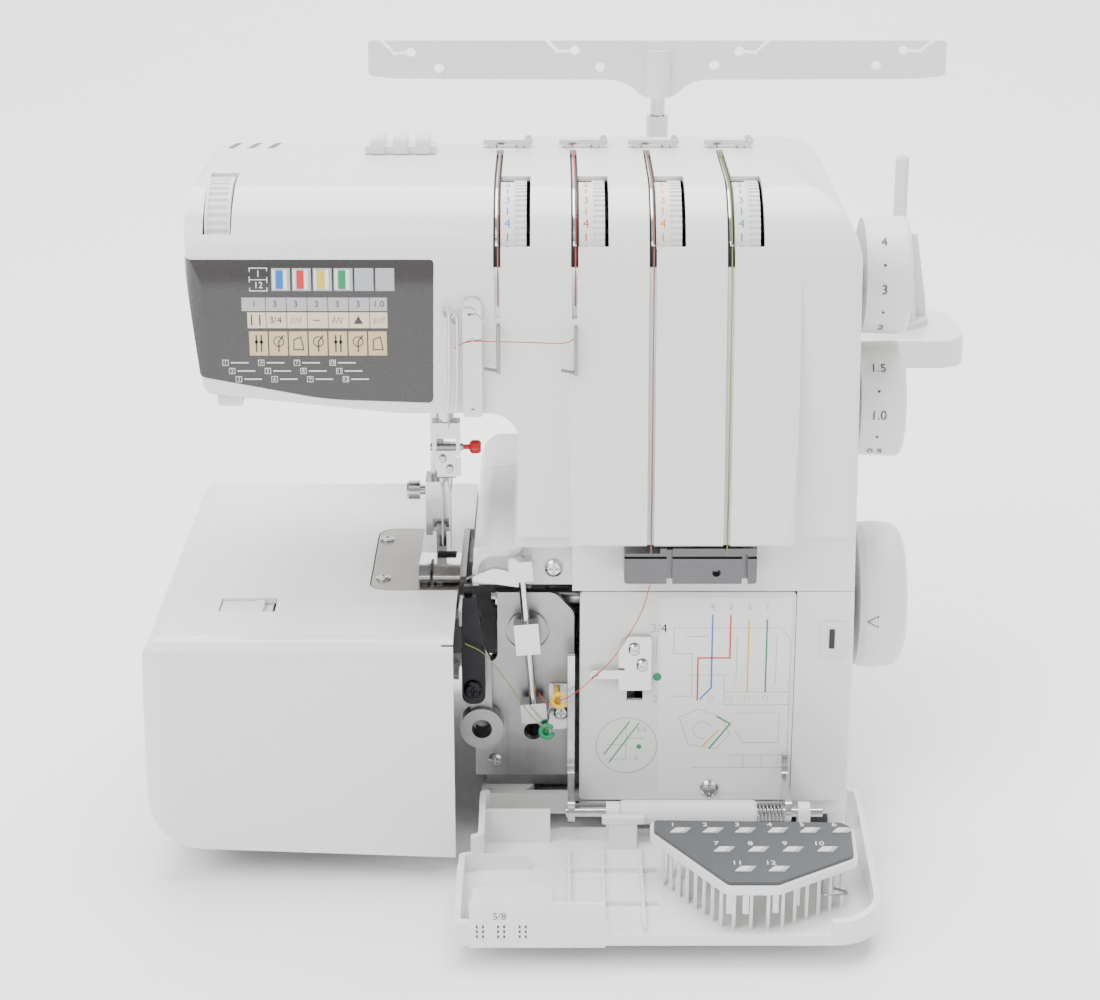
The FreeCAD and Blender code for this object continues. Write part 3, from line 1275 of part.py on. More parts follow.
def sub_parts():
    """Every sub-part of the machine by its name."""
    shell = cover_shell()
    parts = {
        "base_plate": base_plate(),
        "rubber_feet": rubber_feet(),
        "frame_casting": frame_casting(),
        "rear_cover": rear_cover(shell),
        "front_cover": front_cover(shell),
        "program_panel": program_panel(),
        "takeup_cover": takeup_cover(),
        "diagram_plate": diagram_plate(),
        "looper_plate": looper_plate(),
        "bushes": bushes(),
        "motor": motor(),
        "drive_belt": drive_belt(),
        "power_inlet": power_inlet(),
        "power_switch": power_switch(),
        "sewing_lamp": sewing_lamp(),
        "needle_plate": needle_plate(),
        "feed_dogs": feed_dogs(),
        "needle_bar": needle_bar(),
        "needle_clamp": needle_clamp(),
        "needles": needles(),
        "clamp_knob": clamp_knob(),
        "presser_bar": presser_bar(),
        "presser_foot": presser_foot(),
        "presser_lever": presser_lever(),
        "upper_looper": upper_looper(),
        "looper_swivel": looper_swivel(),
        "lower_looper": lower_looper(),
        "upper_knife": upper_knife(),
        "lower_knife": lower_knife(),
        "bed_extension": bed_extension(),
        "release_catch": release_catch(),
        "looper_cover": looper_cover(),
        "chart_plate": chart_plate(),
        "hinge_sleeve": hinge_sleeve(),
        "return_spring": return_spring(),
        "cover_hinge_rod": cover_hinge_rod(),
        "hinge_brackets": hinge_brackets(),
        "looper_thread_guide": looper_thread_guide(),
        "guide_bracket": guide_bracket(),
        "top_thread_guides": top_thread_guides(),
        "thread_hooks": thread_hooks(),
        "cover_screws": cover_screws(),
        "program_wheel": program_wheel(),
        "differential_dial": side_dial(UPPER_DIAL_Z),
        "stitch_length_dial": side_dial(LOWER_DIAL_Z),
        "handwheel": handwheel(),
        "main_shaft": main_shaft(),
        "main_pulley": main_pulley(),
        "motor_pulley": motor_pulley(),
        "top_slider": top_slider(),
        "spool_tray": spool_tray(),
        "spool_pins": spool_pins(),
        "cone_holders": cone_holders(),
        "antenna_tube": antenna_tube(),
        "antenna_pole": antenna_pole(),
        "guide_bar": guide_bar(),
    }
    for i, left in enumerate(DIAL_LEFT):
        parts[f"tension_dial_{i + 1}"] = thumbwheel(left, 60)
    return parts


def main():
    os.makedirs("parts", exist_ok=True)
    low, high = V(1e9, 1e9, 1e9), V(-1e9, -1e9, -1e9)
    for name, shape in sub_parts().items():
        shape.translate(PLACE)
        bounds = shape.BoundBox
        low = V(min(low.x, bounds.XMin), min(low.y, bounds.YMin), min(low.z, bounds.ZMin))
        high = V(max(high.x, bounds.XMax), max(high.y, bounds.YMax), max(high.z, bounds.ZMax))
        if not shape.isValid():
            print("not valid:", name)
        print(f"{name}: {len(shape.Solids)} solid, {shape.Volume / 1000:.2f} cm3")
        shape.exportStep(f"parts/{name}.step")
    print("box", low, high)


if __name__ == "__main__":
    main()
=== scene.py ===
import math
import bmesh
import bpy
import numpy as np
from bpy.props import FloatProperty, FloatVectorProperty, PointerProperty
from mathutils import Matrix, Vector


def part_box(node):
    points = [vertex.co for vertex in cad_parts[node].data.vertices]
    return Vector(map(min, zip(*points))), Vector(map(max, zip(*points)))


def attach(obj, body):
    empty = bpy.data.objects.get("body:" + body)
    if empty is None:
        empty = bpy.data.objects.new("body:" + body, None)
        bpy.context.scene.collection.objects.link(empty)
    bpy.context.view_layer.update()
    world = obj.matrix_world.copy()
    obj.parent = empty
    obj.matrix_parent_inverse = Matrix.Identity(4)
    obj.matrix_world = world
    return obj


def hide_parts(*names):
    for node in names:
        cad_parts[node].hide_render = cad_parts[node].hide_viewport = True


bl_info = {
    "name": "Serger finish",
    "version": (1, 0),
    "blender": (4, 5, 0),
    "location": "View3D > Sidebar > Serger",
    "description": "Finishes, printing and thread path of a household serger",
    "category": "Object",
}

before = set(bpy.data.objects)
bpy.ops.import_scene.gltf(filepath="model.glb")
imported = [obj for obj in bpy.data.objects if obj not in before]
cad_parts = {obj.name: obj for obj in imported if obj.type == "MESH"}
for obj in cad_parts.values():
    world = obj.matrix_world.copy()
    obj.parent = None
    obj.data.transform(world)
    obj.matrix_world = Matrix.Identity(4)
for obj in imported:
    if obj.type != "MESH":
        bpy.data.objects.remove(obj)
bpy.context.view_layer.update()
MM = 0.001


def node_box(node):
    """Lowest and highest corner of a CAD node as arrays."""
    low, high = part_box(node)
    return np.array(low), np.array(high)


# The layout's zero lies to the right of the needle plate's left edge and behind its
# front edge, on the table.
ZERO_RIGHT, ZERO_BEHIND = 78.0 * MM, 28.0 * MM
PLATE_LOW, _ = node_box("needle_plate")
ZERO = np.array([PLATE_LOW[0] + ZERO_RIGHT, PLATE_LOW[1] + ZERO_BEHIND, 0.0])


def place(x, y, z):
    """A point of the machine's layout, in mm, as a place in the frame."""
    return ZERO + np.array([x, y, z]) * MM


# ------------------------------------------------------------------ settings

def colour(name, value, description):
    return FloatVectorProperty(
        name=name, description=description, subtype="COLOR", size=3,
        min=0.0, max=1.0, default=value,
    )


def length(name, value, description):
    return FloatProperty(
        name=name, description=description, default=value, unit="LENGTH", precision=5,
    )


class SergerColours(bpy.types.PropertyGroup):
    """Colours of the machine's plastics, metals and printing."""
    shell: colour("Shell", (0.80, 0.80, 0.79), "Glossy moulded covers")
    matte: colour("Fittings", (0.76, 0.76, 0.745), "Dials, handwheel and fittings")
    panel: colour("Program panel", (0.045, 0.043, 0.042), "Dark printed panel")
    chart: colour("Chart plate", (0.060, 0.064, 0.070), "Stitch chart in the cover")
    steel: colour("Needle plate", (0.33, 0.31, 0.295), "Ground steel plates")
    bright: colour("Bright metal", (0.62, 0.62, 0.63), "Plated small parts")
    ink: colour("Ink", (0.05, 0.05, 0.055), "Dark printing")
    faint: colour("Faint ink", (0.42, 0.43, 0.45), "Grey line drawing")
    tan: colour("Tan cells", (0.62, 0.47, 0.26), "Tan cells of the panel")
    blue: colour("Blue thread mark", (0.02, 0.16, 0.55), "First thread")
    red: colour("Red thread mark", (0.62, 0.03, 0.03), "Second thread")
    orange: colour("Orange thread mark", (0.78, 0.13, 0.03), "Third thread")
    green: colour("Green thread mark", (0.01, 0.26, 0.10), "Fourth thread")
    yellow: colour("Yellow", (0.80, 0.50, 0.03), "Yellow tab and guide")
    floor: colour("Floor", (0.95, 0.95, 0.95), "Floor and backdrop")


class SergerSizes(bpy.types.PropertyGroup):
    """Sizes of the printing, the thread and the stage."""
    ink_height: length("Ink thickness", 0.00005, "How far printing stands proud")
    digit_height: length("Digit height", 0.0036, "Height of the dials' digits")
    thread_radius: length("Thread radius", 0.00022, "Radius of the sewing thread")
    floor_size: length("Floor size", 6.0, "Width of the floor")


def colours():
    return bpy.context.scene.serger_colours


def sizes():
    return bpy.context.scene.serger_sizes


# ------------------------------------------------------------------ shapes
# A shape is (points, faces): an array of places and a list of index lists.

def grid(points, wrap_u=False, wrap_v=False):
    """Quads over an array of points[u, v]; a wrapped side joins its two ends."""
    nu, nv = points.shape[:2]
    u = np.arange(nu if wrap_u else nu - 1)
    v = np.arange(nv if wrap_v else nv - 1)
    uu, vv = np.meshgrid(u, v, indexing="ij")
    a, b = uu, (uu + 1) % nu
    c, d = vv, (vv + 1) % nv
    quads = np.stack([a * nv + c, b * nv + c, b * nv + d, a * nv + d], -1)
    return points.reshape(-1, 3), quads.reshape(-1, 4).tolist()


def merged(shapes):
    """Several shapes as one, with each one's indices moved up."""
    points, faces, base = [], [], 0
    for p, f in shapes:
        points.append(p)
        faces += [[i + base for i in face] for face in f]
        base += len(p)
    return np.concatenate(points), faces


def pillow(centre, size, e=0.35, across=16, around=28):
    """Rounded block: a ball whose cosines and sines are raised to a small power e."""
    v = np.linspace(-math.pi / 2, math.pi / 2, across)[:, None]
    u = np.linspace(0, 2 * math.pi, around, endpoint=False)[None, :]
    def soft(value):
        return np.sign(value) * np.abs(value) ** e
    x = soft(np.cos(v)) * soft(np.cos(u))
    y = soft(np.cos(v)) * soft(np.sin(u))
    z = soft(np.sin(v)) * np.ones_like(u)
    points = np.stack([x, y, z], -1) * (np.array(size) / 2) + np.array(centre)
    return grid(points, wrap_v=True)


def carried(path, profile, closed=False):
    """A profile (across, up) carried along a path; the up direction is passed on
    from step to step with as little twist as possible, and open ends shrink to
    a point so that the form is closed."""
    path = np.asarray(path, float)
    step = np.roll(path, -1, 0) - np.roll(path, 1, 0)
    if not closed:
        step[0], step[-1] = path[1] - path[0], path[-1] - path[-2]
    tangent = step / np.linalg.norm(step, axis=1)[:, None]
    start = np.array([0.0, 0.0, 1.0])
    if abs(tangent[0] @ start) > 0.9:
        start = np.array([0.0, 1.0, 0.0])
    ups = []
    up = start
    for t in tangent:
        up = up - t * (up @ t)
        up = up / np.linalg.norm(up)
        ups.append(up)
    ups = np.array(ups)
    side = np.cross(tangent, ups)
    rings = (
        path[:, None, :] + side[:, None, :] * profile[None, :, :1]
        + ups[:, None, :] * profile[None, :, 1:]
    )
    if not closed:
        first = np.repeat(path[:1, None, :], len(profile), 1)
        last = np.repeat(path[-1:, None, :], len(profile), 1)
        rings = np.concatenate([first, rings, last])
    return grid(rings, wrap_u=closed, wrap_v=True)


def tube(path, radius, sides=10, closed=False):
    """Round wire or thread: a circle carried along a path."""
    a = np.linspace(0, 2 * math.pi, sides, endpoint=False)
    return carried(path, np.stack([np.cos(a), np.sin(a)], -1) * radius, closed)


def smooth_path(points, per=8, closed=False):
    """Curve through points: each span is the usual cubic through four of them."""
    p = np.asarray(points, float)
    if closed:
        p = np.concatenate([p[-1:], p, p[:2]])
    else:
        p = np.concatenate([2 * p[:1] - p[1:2], p, 2 * p[-1:] - p[-2:-1]])
    a, b, c, d = p[:-3], p[1:-2], p[2:-1], p[3:]
    t = np.linspace(0, 1, per, endpoint=False)[None, :, None]
    a, b, c, d = (q[:, None, :] for q in (a, b, c, d))
    curve = 0.5 * (2 * b + (c - a) * t + (2 * a - 5 * b + 4 * c - d) * t ** 2
                   + (3 * b - a - 3 * c + d) * t ** 3)
    curve = curve.reshape(-1, 3)
    return curve if closed else np.concatenate([curve, p[-2:-1]])


def stroke(points, width, height, closed=False):
    """Printed line: a flat rectangle carried along a path in the (x, y) plane.
    Each corner is mitred, and the form is closed at both ends."""
    p = np.asarray(points, float)
    step = np.roll(p, -1, 0) - p
    if not closed:
        step[-1] = step[-2]
    step = step / np.linalg.norm(step, axis=1)[:, None]
    before = np.roll(step, 1, 0)
    if not closed:
        before[0] = step[0]
    normal = np.stack([-step[:, 1], step[:, 0]], -1)
    old = np.stack([-before[:, 1], before[:, 0]], -1)
    mitre = (normal + old) / np.maximum(1 + (normal * old).sum(1), 0.35)[:, None]
    half = mitre * width / 2
    corners = [p + half, p - half, p - half, p + half]
    heights = [height, height, 0.0, 0.0]
    rings = np.stack(
        [np.column_stack([c, np.full(len(p), h)]) for c, h in zip(corners, heights)], 1)
    shape = grid(rings, wrap_u=closed, wrap_v=True)
    if not closed:
        last = (len(p) - 1) * 4
        shape[1].append([0, 1, 2, 3])
        shape[1].append([last + 3, last + 2, last + 1, last])
    return shape


def patch(x0, x1, y0, y1, height, low=0.0, slant=0.0):
    """Printed or moulded rectangle, its top edge moved along by slant."""
    flat = np.array([[x0, y0], [x1, y0], [x1 + slant, y1], [x0 + slant, y1]])
    points = np.concatenate([
        np.column_stack([flat, np.full(4, low)]),
        np.column_stack([flat, np.full(4, height)]),
    ])
    faces = [[3, 2, 1, 0], [4, 5, 6, 7]]
    faces += [[i, (i + 1) % 4, (i + 1) % 4 + 4, i + 4] for i in range(4)]
    return points, faces


def disc(x, y, radius, height, sides=28):
    """Printed round spot."""
    a = np.linspace(0, 2 * math.pi, sides, endpoint=False)
    ring = np.column_stack([x + np.cos(a) * radius, y + np.sin(a) * radius])
    low = np.column_stack([ring, np.zeros(sides)])
    high = np.column_stack([ring, np.full(sides, height)])
    faces = [list(range(sides - 1, -1, -1)), list(range(sides, 2 * sides))]
    faces += [[i, (i + 1) % sides, (i + 1) % sides + sides, i + sides]
              for i in range(sides)]
    return np.concatenate([low, high]), faces


def circle_path(x, y, radius, count=36, start=0.0, sweep=2 * math.pi):
    """Points round a circle or an arc."""
    closed = abs(sweep - 2 * math.pi) < 1e-6
    a = np.linspace(start, start + sweep, count, endpoint=not closed)
    return np.column_stack([x + np.cos(a) * radius, y + np.sin(a) * radius])


DIGITS = {}


def digits(text, height, x=0.0, y=0.0, thick=0.00005):
    """Number as a flat closed form, centred on (x, y)."""
    if text not in DIGITS:
        curve = bpy.data.curves.new("digits", "FONT")
        curve.body = text
        curve.size = 1.0
        curve.resolution_u = 3
        curve.extrude = 0.5
        curve.align_x = "CENTER"
        curve.align_y = "CENTER"
        holder = bpy.data.objects.new("digits", curve)
        bpy.context.scene.collection.objects.link(holder)
        graph = bpy.context.evaluated_depsgraph_get()
        mesh = bpy.data.meshes.new_from_object(holder.evaluated_get(graph))
        co = np.zeros(len(mesh.vertices) * 3)
        mesh.vertices.foreach_get("co", co)
        DIGITS[text] = co.reshape(-1, 3), [list(p.vertices) for p in mesh.polygons]
        bpy.data.objects.remove(holder)
        bpy.data.curves.remove(curve)
        bpy.data.meshes.remove(mesh)
    points, faces = DIGITS[text]
    scale = height / 0.70
    flat = points * [scale, scale, 0] + [x, y, 0]
    flat[:, 2] = (points[:, 2] + 0.5) * thick
    return flat, [list(f) for f in faces]


def laid(shape, surface):
    """A flat shape moved onto a surface: surface(x, y, height) gives places."""
    points, faces = shape
    return surface(points[:, 0], points[:, 1], points[:, 2]), faces


def piece(name, shapes, finish, body, smooth=True, replaces=()):
    """One object out of shapes: welded, faced outwards, finished and set riding."""
    points, faces = merged(shapes)
    mesh = bpy.data.meshes.new(name)
    mesh.from_pydata(points.tolist(), [], faces)
    work = bmesh.new()
    work.from_mesh(mesh)
    bmesh.ops.remove_doubles(work, verts=work.verts, dist=1e-7)
    bmesh.ops.dissolve_degenerate(work, edges=work.edges, dist=1e-8)
    bmesh.ops.recalc_face_normals(work, faces=work.faces)
    work.to_mesh(mesh)
    work.free()
    mesh.polygons.foreach_set("use_smooth", [smooth] * len(mesh.polygons))
    if smooth:
        mesh.set_sharp_from_angle(angle=math.radians(40))
    obj = bpy.data.objects.new(name, mesh)
    bpy.context.scene.collection.objects.link(obj)
    mesh.materials.append(bpy.data.materials[finish])
    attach(obj, body)
    if replaces:
        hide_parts(*replaces)
    return obj


# ------------------------------------------------------------------ surfaces

# The shell's front face, its top and the quarter round between them, in mm.
SHELL_FRONT, SHELL_TOP, SHELL_ROUND = -50.0, 288.0, 38.0
ROUND_Y = SHELL_FRONT + SHELL_ROUND
ROUND_Z = SHELL_TOP - SHELL_ROUND
EDGE_R = 38.3 * MM
EDGE_Z = ROUND_Z * MM
EDGE_Y = ZERO[1] + ROUND_Y * MM


def front_surface(x, y, height):
    """Front of the arm: flat up to the edge's start, then an arc to the top.
    x is across, y is the level above the table, height stands off the skin."""
    up = np.clip(y - EDGE_Z, 0.0, EDGE_R * 0.98)
    skin = EDGE_Y - np.sqrt(EDGE_R ** 2 - up ** 2)
    return np.column_stack([ZERO[0] + x, skin - height, y])


DIAGRAM_LOW, _ = node_box("diagram_plate")


def diagram_surface(x, y, height):
    """Front of the diagram plate."""
    return np.column_stack([ZERO[0] + x, np.full(len(x), DIAGRAM_LOW[1]) - height, y])


_, CHART_HIGH = node_box("chart_plate")


def chart_surface(x, y, height):
    """Upper side of the chart plate in the open cover."""
    return np.column_stack([ZERO[0] + x, ZERO[1] + y, np.full(len(x), CHART_HIGH[2]) + height])


def wheel_surface(node, left, radius_less=0.0):
    """Rim of a wheel on the X axis: x runs along the axis from left, y round the
    rim upwards from the point that faces the front."""
    low, high = node_box(node)
    centre = (low + high) / 2
    radius = (high[2] - low[2]) / 2 - radius_less

    def surface(x, y, height):
        angle = y / radius
        reach = radius + height
        return np.column_stack([
            low[0] + left + x, centre[1] - np.cos(angle) * reach,
            centre[2] + np.sin(angle) * reach,
        ])
    return surface, radius


# ------------------------------------------------------------------ materials

def socket(group, name, kind, value=None, out=False):
    made = group.interface.new_socket(
        name=name, in_out="OUTPUT" if out else "INPUT", socket_type=kind)
    if value is not None:
        made.default_value = value
    return made


def new_group(name, inputs, outputs):
    """Empty node group with its sockets and its two ends."""
    group = bpy.data.node_groups.new(name, "ShaderNodeTree")
    for label, kind, value in inputs:
        socket(group, label, kind, value)
    for label, kind in outputs:
        socket(group, label, kind, out=True)
    return group, group.nodes.new("NodeGroupInput"), group.nodes.new("NodeGroupOutput")


def noise(tree, vector, scale, detail=3.0, rough=0.5):
    node = tree.nodes.new("ShaderNodeTexNoise")
    node.inputs["Detail"].default_value = detail
    node.inputs["Roughness"].default_value = rough
    tree.links.new(vector, node.inputs["Vector"])
    if isinstance(scale, float):
        node.inputs["Scale"].default_value = scale
    else:
        tree.links.new(scale, node.inputs["Scale"])
    return node.outputs["Fac"]


def maths(tree, operation, a, b):
    node = tree.nodes.new("ShaderNodeMath")
    node.operation = operation
    for index, value in enumerate((a, b)):
        if isinstance(value, (int, float)):
            node.inputs[index].default_value = value
        else:
            tree.links.new(value, node.inputs[index])
    return node.outputs[0]


def blend_colour(tree, factor, a, b, mode="MIX"):
    node = tree.nodes.new("ShaderNodeMix")
    node.data_type = "RGBA"
    node.blend_type = mode
    for label, value in (("Factor", factor), ("A", a), ("B", b)):
        index = {"Factor": 0, "A": 6, "B": 7}[label]
        if isinstance(value, (tuple, list, float)):
            node.inputs[index].default_value = value
        else:
            tree.links.new(value, node.inputs[index])
    return node.outputs[2]


def moulded_group():
    """Moulded plastic: fine spark-eroded grain, slow tint drift and flow marks."""
    group, start, end = new_group(
        "Moulded plastic",
        [("Vector", "NodeSocketVector", None), ("Color", "NodeSocketColor", None),
         ("Grain scale", "NodeSocketFloat", 2600.0), ("Roughness", "NodeSocketFloat", 0.3),
         ("Tint", "NodeSocketFloat", 0.03)],
        [("Color", "NodeSocketColor"), ("Roughness", "NodeSocketFloat"),
         ("Height", "NodeSocketFloat")],
    )
    place_in = start.outputs["Vector"]
    grain = noise(group, place_in, start.outputs["Grain scale"], 2.0, 0.55)
    drift = noise(group, place_in, 14.0, 3.0, 0.6)
    rubbed = noise(group, place_in, 90.0, 5.0, 0.65)
    shade = maths(group, "MULTIPLY", maths(group, "SUBTRACT", drift, 0.5),
                  start.outputs["Tint"])
    factor = maths(group, "ADD", 1.0, shade)
    tinted = blend_colour(group, 1.0, start.outputs["Color"], factor, "MULTIPLY")
    group.links.new(tinted, end.inputs["Color"])
    uneven = maths(group, "MULTIPLY", maths(group, "SUBTRACT", rubbed, 0.5), 0.16)
    group.links.new(maths(group, "ADD", start.outputs["Roughness"], uneven),
                    end.inputs["Roughness"])
    group.links.new(maths(group, "ADD", grain, maths(group, "MULTIPLY", rubbed, 0.3)),
                    end.inputs["Height"])
    return group


def metal_group():
    """Worked metal: streaks along one way, stains and fine pits."""
    group, start, end = new_group(
        "Worked metal",
        [("Vector", "NodeSocketVector", None), ("Color", "NodeSocketColor", None),
         ("Streak", "NodeSocketVector", (40.0, 900.0, 900.0)),
         ("Roughness", "NodeSocketFloat", 0.3), ("Stain", "NodeSocketFloat", 0.2)],
        [("Color", "NodeSocketColor"), ("Roughness", "NodeSocketFloat"),
         ("Height", "NodeSocketFloat")],
    )
    stretch = group.nodes.new("ShaderNodeVectorMath")
    stretch.operation = "MULTIPLY"
    group.links.new(start.outputs["Vector"], stretch.inputs[0])
    group.links.new(start.outputs["Streak"], stretch.inputs[1])
    streaks = noise(group, stretch.outputs[0], 1.0, 4.0, 0.6)
    stains = noise(group, start.outputs["Vector"], 60.0, 5.0, 0.65)
    pits = noise(group, start.outputs["Vector"], 2200.0, 2.0, 0.5)
    shade = maths(group, "MULTIPLY", maths(group, "SUBTRACT", stains, 0.5),
                  start.outputs["Stain"])
    lines = maths(group, "MULTIPLY", maths(group, "SUBTRACT", streaks, 0.5), 0.25)
    factor = maths(group, "ADD", maths(group, "ADD", 1.0, shade), lines)
    tinted = blend_colour(group, 1.0, start.outputs["Color"], factor, "MULTIPLY")
    group.links.new(tinted, end.inputs["Color"])
    rough = maths(group, "ADD", start.outputs["Roughness"],
                  maths(group, "MULTIPLY", maths(group, "SUBTRACT", streaks, 0.5), 0.22))
    group.links.new(rough, end.inputs["Roughness"])
    group.links.new(maths(group, "ADD", streaks, maths(group, "MULTIPLY", pits, 0.4)),
                    end.inputs["Height"])
    return group


def dust_group():
    """Fine dust: settles on what faces up, broken up by a slow noise."""
    group, start, end = new_group(
        "Settled dust",
        [("Vector", "NodeSocketVector", None), ("Color", "NodeSocketColor", None),
         ("Amount", "NodeSocketFloat", 0.05)],
        [("Color", "NodeSocketColor")],
    )
    facing = group.nodes.new("ShaderNodeNewGeometry")
    apart = group.nodes.new("ShaderNodeSeparateXYZ")
    group.links.new(facing.outputs["Normal"], apart.inputs[0])
    upward = maths(group, "MAXIMUM", apart.outputs["Z"], 0.0)
    cloud = noise(group, start.outputs["Vector"], 45.0, 6.0, 0.7)
    amount = maths(group, "MULTIPLY", maths(group, "MULTIPLY", upward, cloud),
                   start.outputs["Amount"])
    mixed = blend_colour(group, amount, start.outputs["Color"], (0.55, 0.54, 0.52, 1.0))
    group.links.new(mixed, end.inputs["Color"])
    return group


def material(name, base, group, values, dust=0.04, bump=0.05, **surface):
    """Principled surface fed by a finish group, with a little settled dust."""
    made = bpy.data.materials.new(name)
    made.use_nodes = True
    tree = made.node_tree
    shader = tree.nodes["Principled BSDF"]
    where = tree.nodes.new("ShaderNodeTexCoord").outputs["Object"]
    finish = tree.nodes.new("ShaderNodeGroup")
    finish.node_tree = group
    finish.inputs["Color"].default_value = (*base, 1.0)
    for key, value in values.items():
        finish.inputs[key].default_value = value
    tree.links.new(where, finish.inputs["Vector"])
    settled = tree.nodes.new("ShaderNodeGroup")
    settled.node_tree = bpy.data.node_groups["Settled dust"]
    settled.inputs["Amount"].default_value = dust
    tree.links.new(where, settled.inputs["Vector"])
    tree.links.new(finish.outputs["Color"], settled.inputs["Color"])
    tree.links.new(settled.outputs["Color"], shader.inputs["Base Color"])
    tree.links.new(finish.outputs["Roughness"], shader.inputs["Roughness"])
    relief = tree.nodes.new("ShaderNodeBump")
    relief.inputs["Strength"].default_value = bump
    relief.inputs["Distance"].default_value = 0.0002
    tree.links.new(finish.outputs["Height"], relief.inputs["Height"])
    tree.links.new(relief.outputs["Normal"], shader.inputs["Normal"])
    for key, value in surface.items():
        shader.inputs[key.replace("_", " ")].default_value = value
    return made


def plastic(name, base, roughness, coat=0.0, grain=2600.0, bump=0.05, tint=0.03, dust=0.04):
    return material(
        name, base, bpy.data.node_groups["Moulded plastic"],
        {"Roughness": roughness, "Grain scale": grain, "Tint": tint},
        bump=bump, dust=dust, Coat_Weight=coat, Coat_Roughness=0.12, IOR=1.5,
    )


def metal(name, base, roughness, streak=(40.0, 900.0, 900.0), stain=0.2, bump=0.08):
    return material(
        name, base, bpy.data.node_groups["Worked metal"],
        {"Roughness": roughness, "Streak": streak, "Stain": stain},
        bump=bump, dust=0.05, Metallic=1.0,
    )


def make_materials():
    """Every finish of the machine, one call each."""
    c = colours()
    moulded_group()
    metal_group()
    dust_group()
    plastic("Glossy shell", c.shell, 0.24, coat=0.35, bump=0.03)
    plastic("Fitting plastic", c.matte, 0.42, bump=0.08)
    plastic("Inner plastic", c.matte, 0.50, bump=0.10, tint=0.05)
    plastic("Program panel", c.panel, 0.28, coat=0.25, bump=0.03, dust=0.02)
    plastic("Chart plate", c.chart, 0.42, bump=0.06, dust=0.03)
    plastic("Black plastic", (0.02, 0.02, 0.021), 0.45, bump=0.15)
    plastic("Feet rubber", (0.03, 0.03, 0.03), 0.75, grain=1200.0, bump=0.35)
    plastic("Belt rubber", (0.02, 0.02, 0.02), 0.65, grain=1500.0, bump=0.3)
    plastic("Red knob", (0.58, 0.012, 0.012), 0.30, coat=0.2)
    plastic("Ink", c.ink, 0.45, dust=0.0)
    plastic("Faint ink", c.faint, 0.50, dust=0.0)
    plastic("White ink", (0.80, 0.80, 0.79), 0.45, dust=0.0)
    plastic("Grey cell", (0.42, 0.43, 0.45), 0.40, dust=0.0)
    plastic("Tan cell", c.tan, 0.40, dust=0.0)
    plastic("Pale tan cell", (0.72, 0.62, 0.42), 0.40, dust=0.0)
    plastic("Blue ink", c.blue, 0.40, dust=0.0)
    plastic("Red ink", c.red, 0.40, dust=0.0)
    plastic("Orange ink", c.orange, 0.40, dust=0.0)
    plastic("Green ink", c.green, 0.40, dust=0.0)
    plastic("Yellow ink", c.yellow, 0.40, dust=0.0)
    plastic("Label film", (0.84, 0.84, 0.83), 0.30, coat=0.4, dust=0.02)
    metal("Ground steel", c.steel, 0.36, (900.0, 30.0, 900.0), 0.35, 0.10)
    metal("Machined steel", (0.36, 0.36, 0.37), 0.38, (900.0, 900.0, 30.0), 0.45, 0.12)
    metal("Bright plating", c.bright, 0.16, (300.0, 300.0, 300.0), 0.10, 0.03)
    metal("Dark plating", (0.12, 0.12, 0.125), 0.16, (60.0, 500.0, 500.0), 0.15, 0.04)
    metal("Spring wire", (0.30, 0.30, 0.31), 0.30, (200.0, 200.0, 200.0), 0.2, 0.05)
    metal("Blackened steel", (0.025, 0.025, 0.027), 0.34, (500.0, 500.0, 60.0), 0.5, 0.12)
    metal("Die casting", (0.28, 0.28, 0.29), 0.55, (400.0, 400.0, 400.0), 0.5, 0.35)
    metal("Sintered brass", (0.50, 0.34, 0.12), 0.42, (300.0, 300.0, 300.0), 0.3, 0.15)
    lens = plastic("Lamp lens", (0.9, 0.88, 0.8), 0.15, coat=0.2)
    lens.node_tree.nodes["Principled BSDF"].inputs["Transmission Weight"].default_value = 0.6
    for name, base in THREAD_COLOURS.items():
        plastic(name, base, 0.75, grain=3500.0, bump=0.6, dust=0.0)


THREAD_COLOURS = {
    "White thread": (0.70, 0.69, 0.66),
    "Red thread": (0.52, 0.05, 0.04),
    "Brown thread": (0.30, 0.12, 0.10),
    "Green thread": (0.20, 0.30, 0.05),
    "Yellow thread": (0.55, 0.45, 0.06),
}

FINISHES = {
    "Glossy shell": ["rear_cover", "front_cover", "bed_extension", "looper_cover",
                     "spool_tray", "guide_bar"],
    "Fitting plastic": ["program_wheel", "differential_dial", "stitch_length_dial",
                        "handwheel", "top_slider", "spool_pins", "cone_holders",
                        "presser_lever", "release_catch", "hinge_sleeve",
                        "tension_dial_1", "tension_dial_2", "tension_dial_3",
                        "tension_dial_4"],
    "Inner plastic": ["base_plate", "diagram_plate"],
    "Program panel": ["program_panel"],
    "Chart plate": ["chart_plate"],
    "Black plastic": ["power_inlet", "power_switch"],
    "Feet rubber": ["rubber_feet"],
    "Belt rubber": ["drive_belt"],
    "Red knob": ["clamp_knob"],
    "Ground steel": ["needle_plate"],
    "Machined steel": ["looper_plate", "lower_looper"],
    "Bright plating": ["needle_bar", "needle_clamp", "needles", "presser_bar",
                       "presser_foot", "upper_looper", "looper_swivel", "lower_knife",
                       "cover_hinge_rod", "hinge_brackets", "guide_bracket",
                       "top_thread_guides", "cover_screws", "main_shaft",
                       "motor_pulley", "antenna_tube", "antenna_pole", "feed_dogs",
                       "takeup_cover"],
    "Dark plating": ["looper_thread_guide"],
    "Spring wire": ["return_spring", "thread_hooks"],
    "Blackened steel": ["upper_knife", "motor"],
    "Die casting": ["frame_casting", "main_pulley"],
    "Sintered brass": ["bushes"],
    "Lamp lens": ["sewing_lamp"],
}


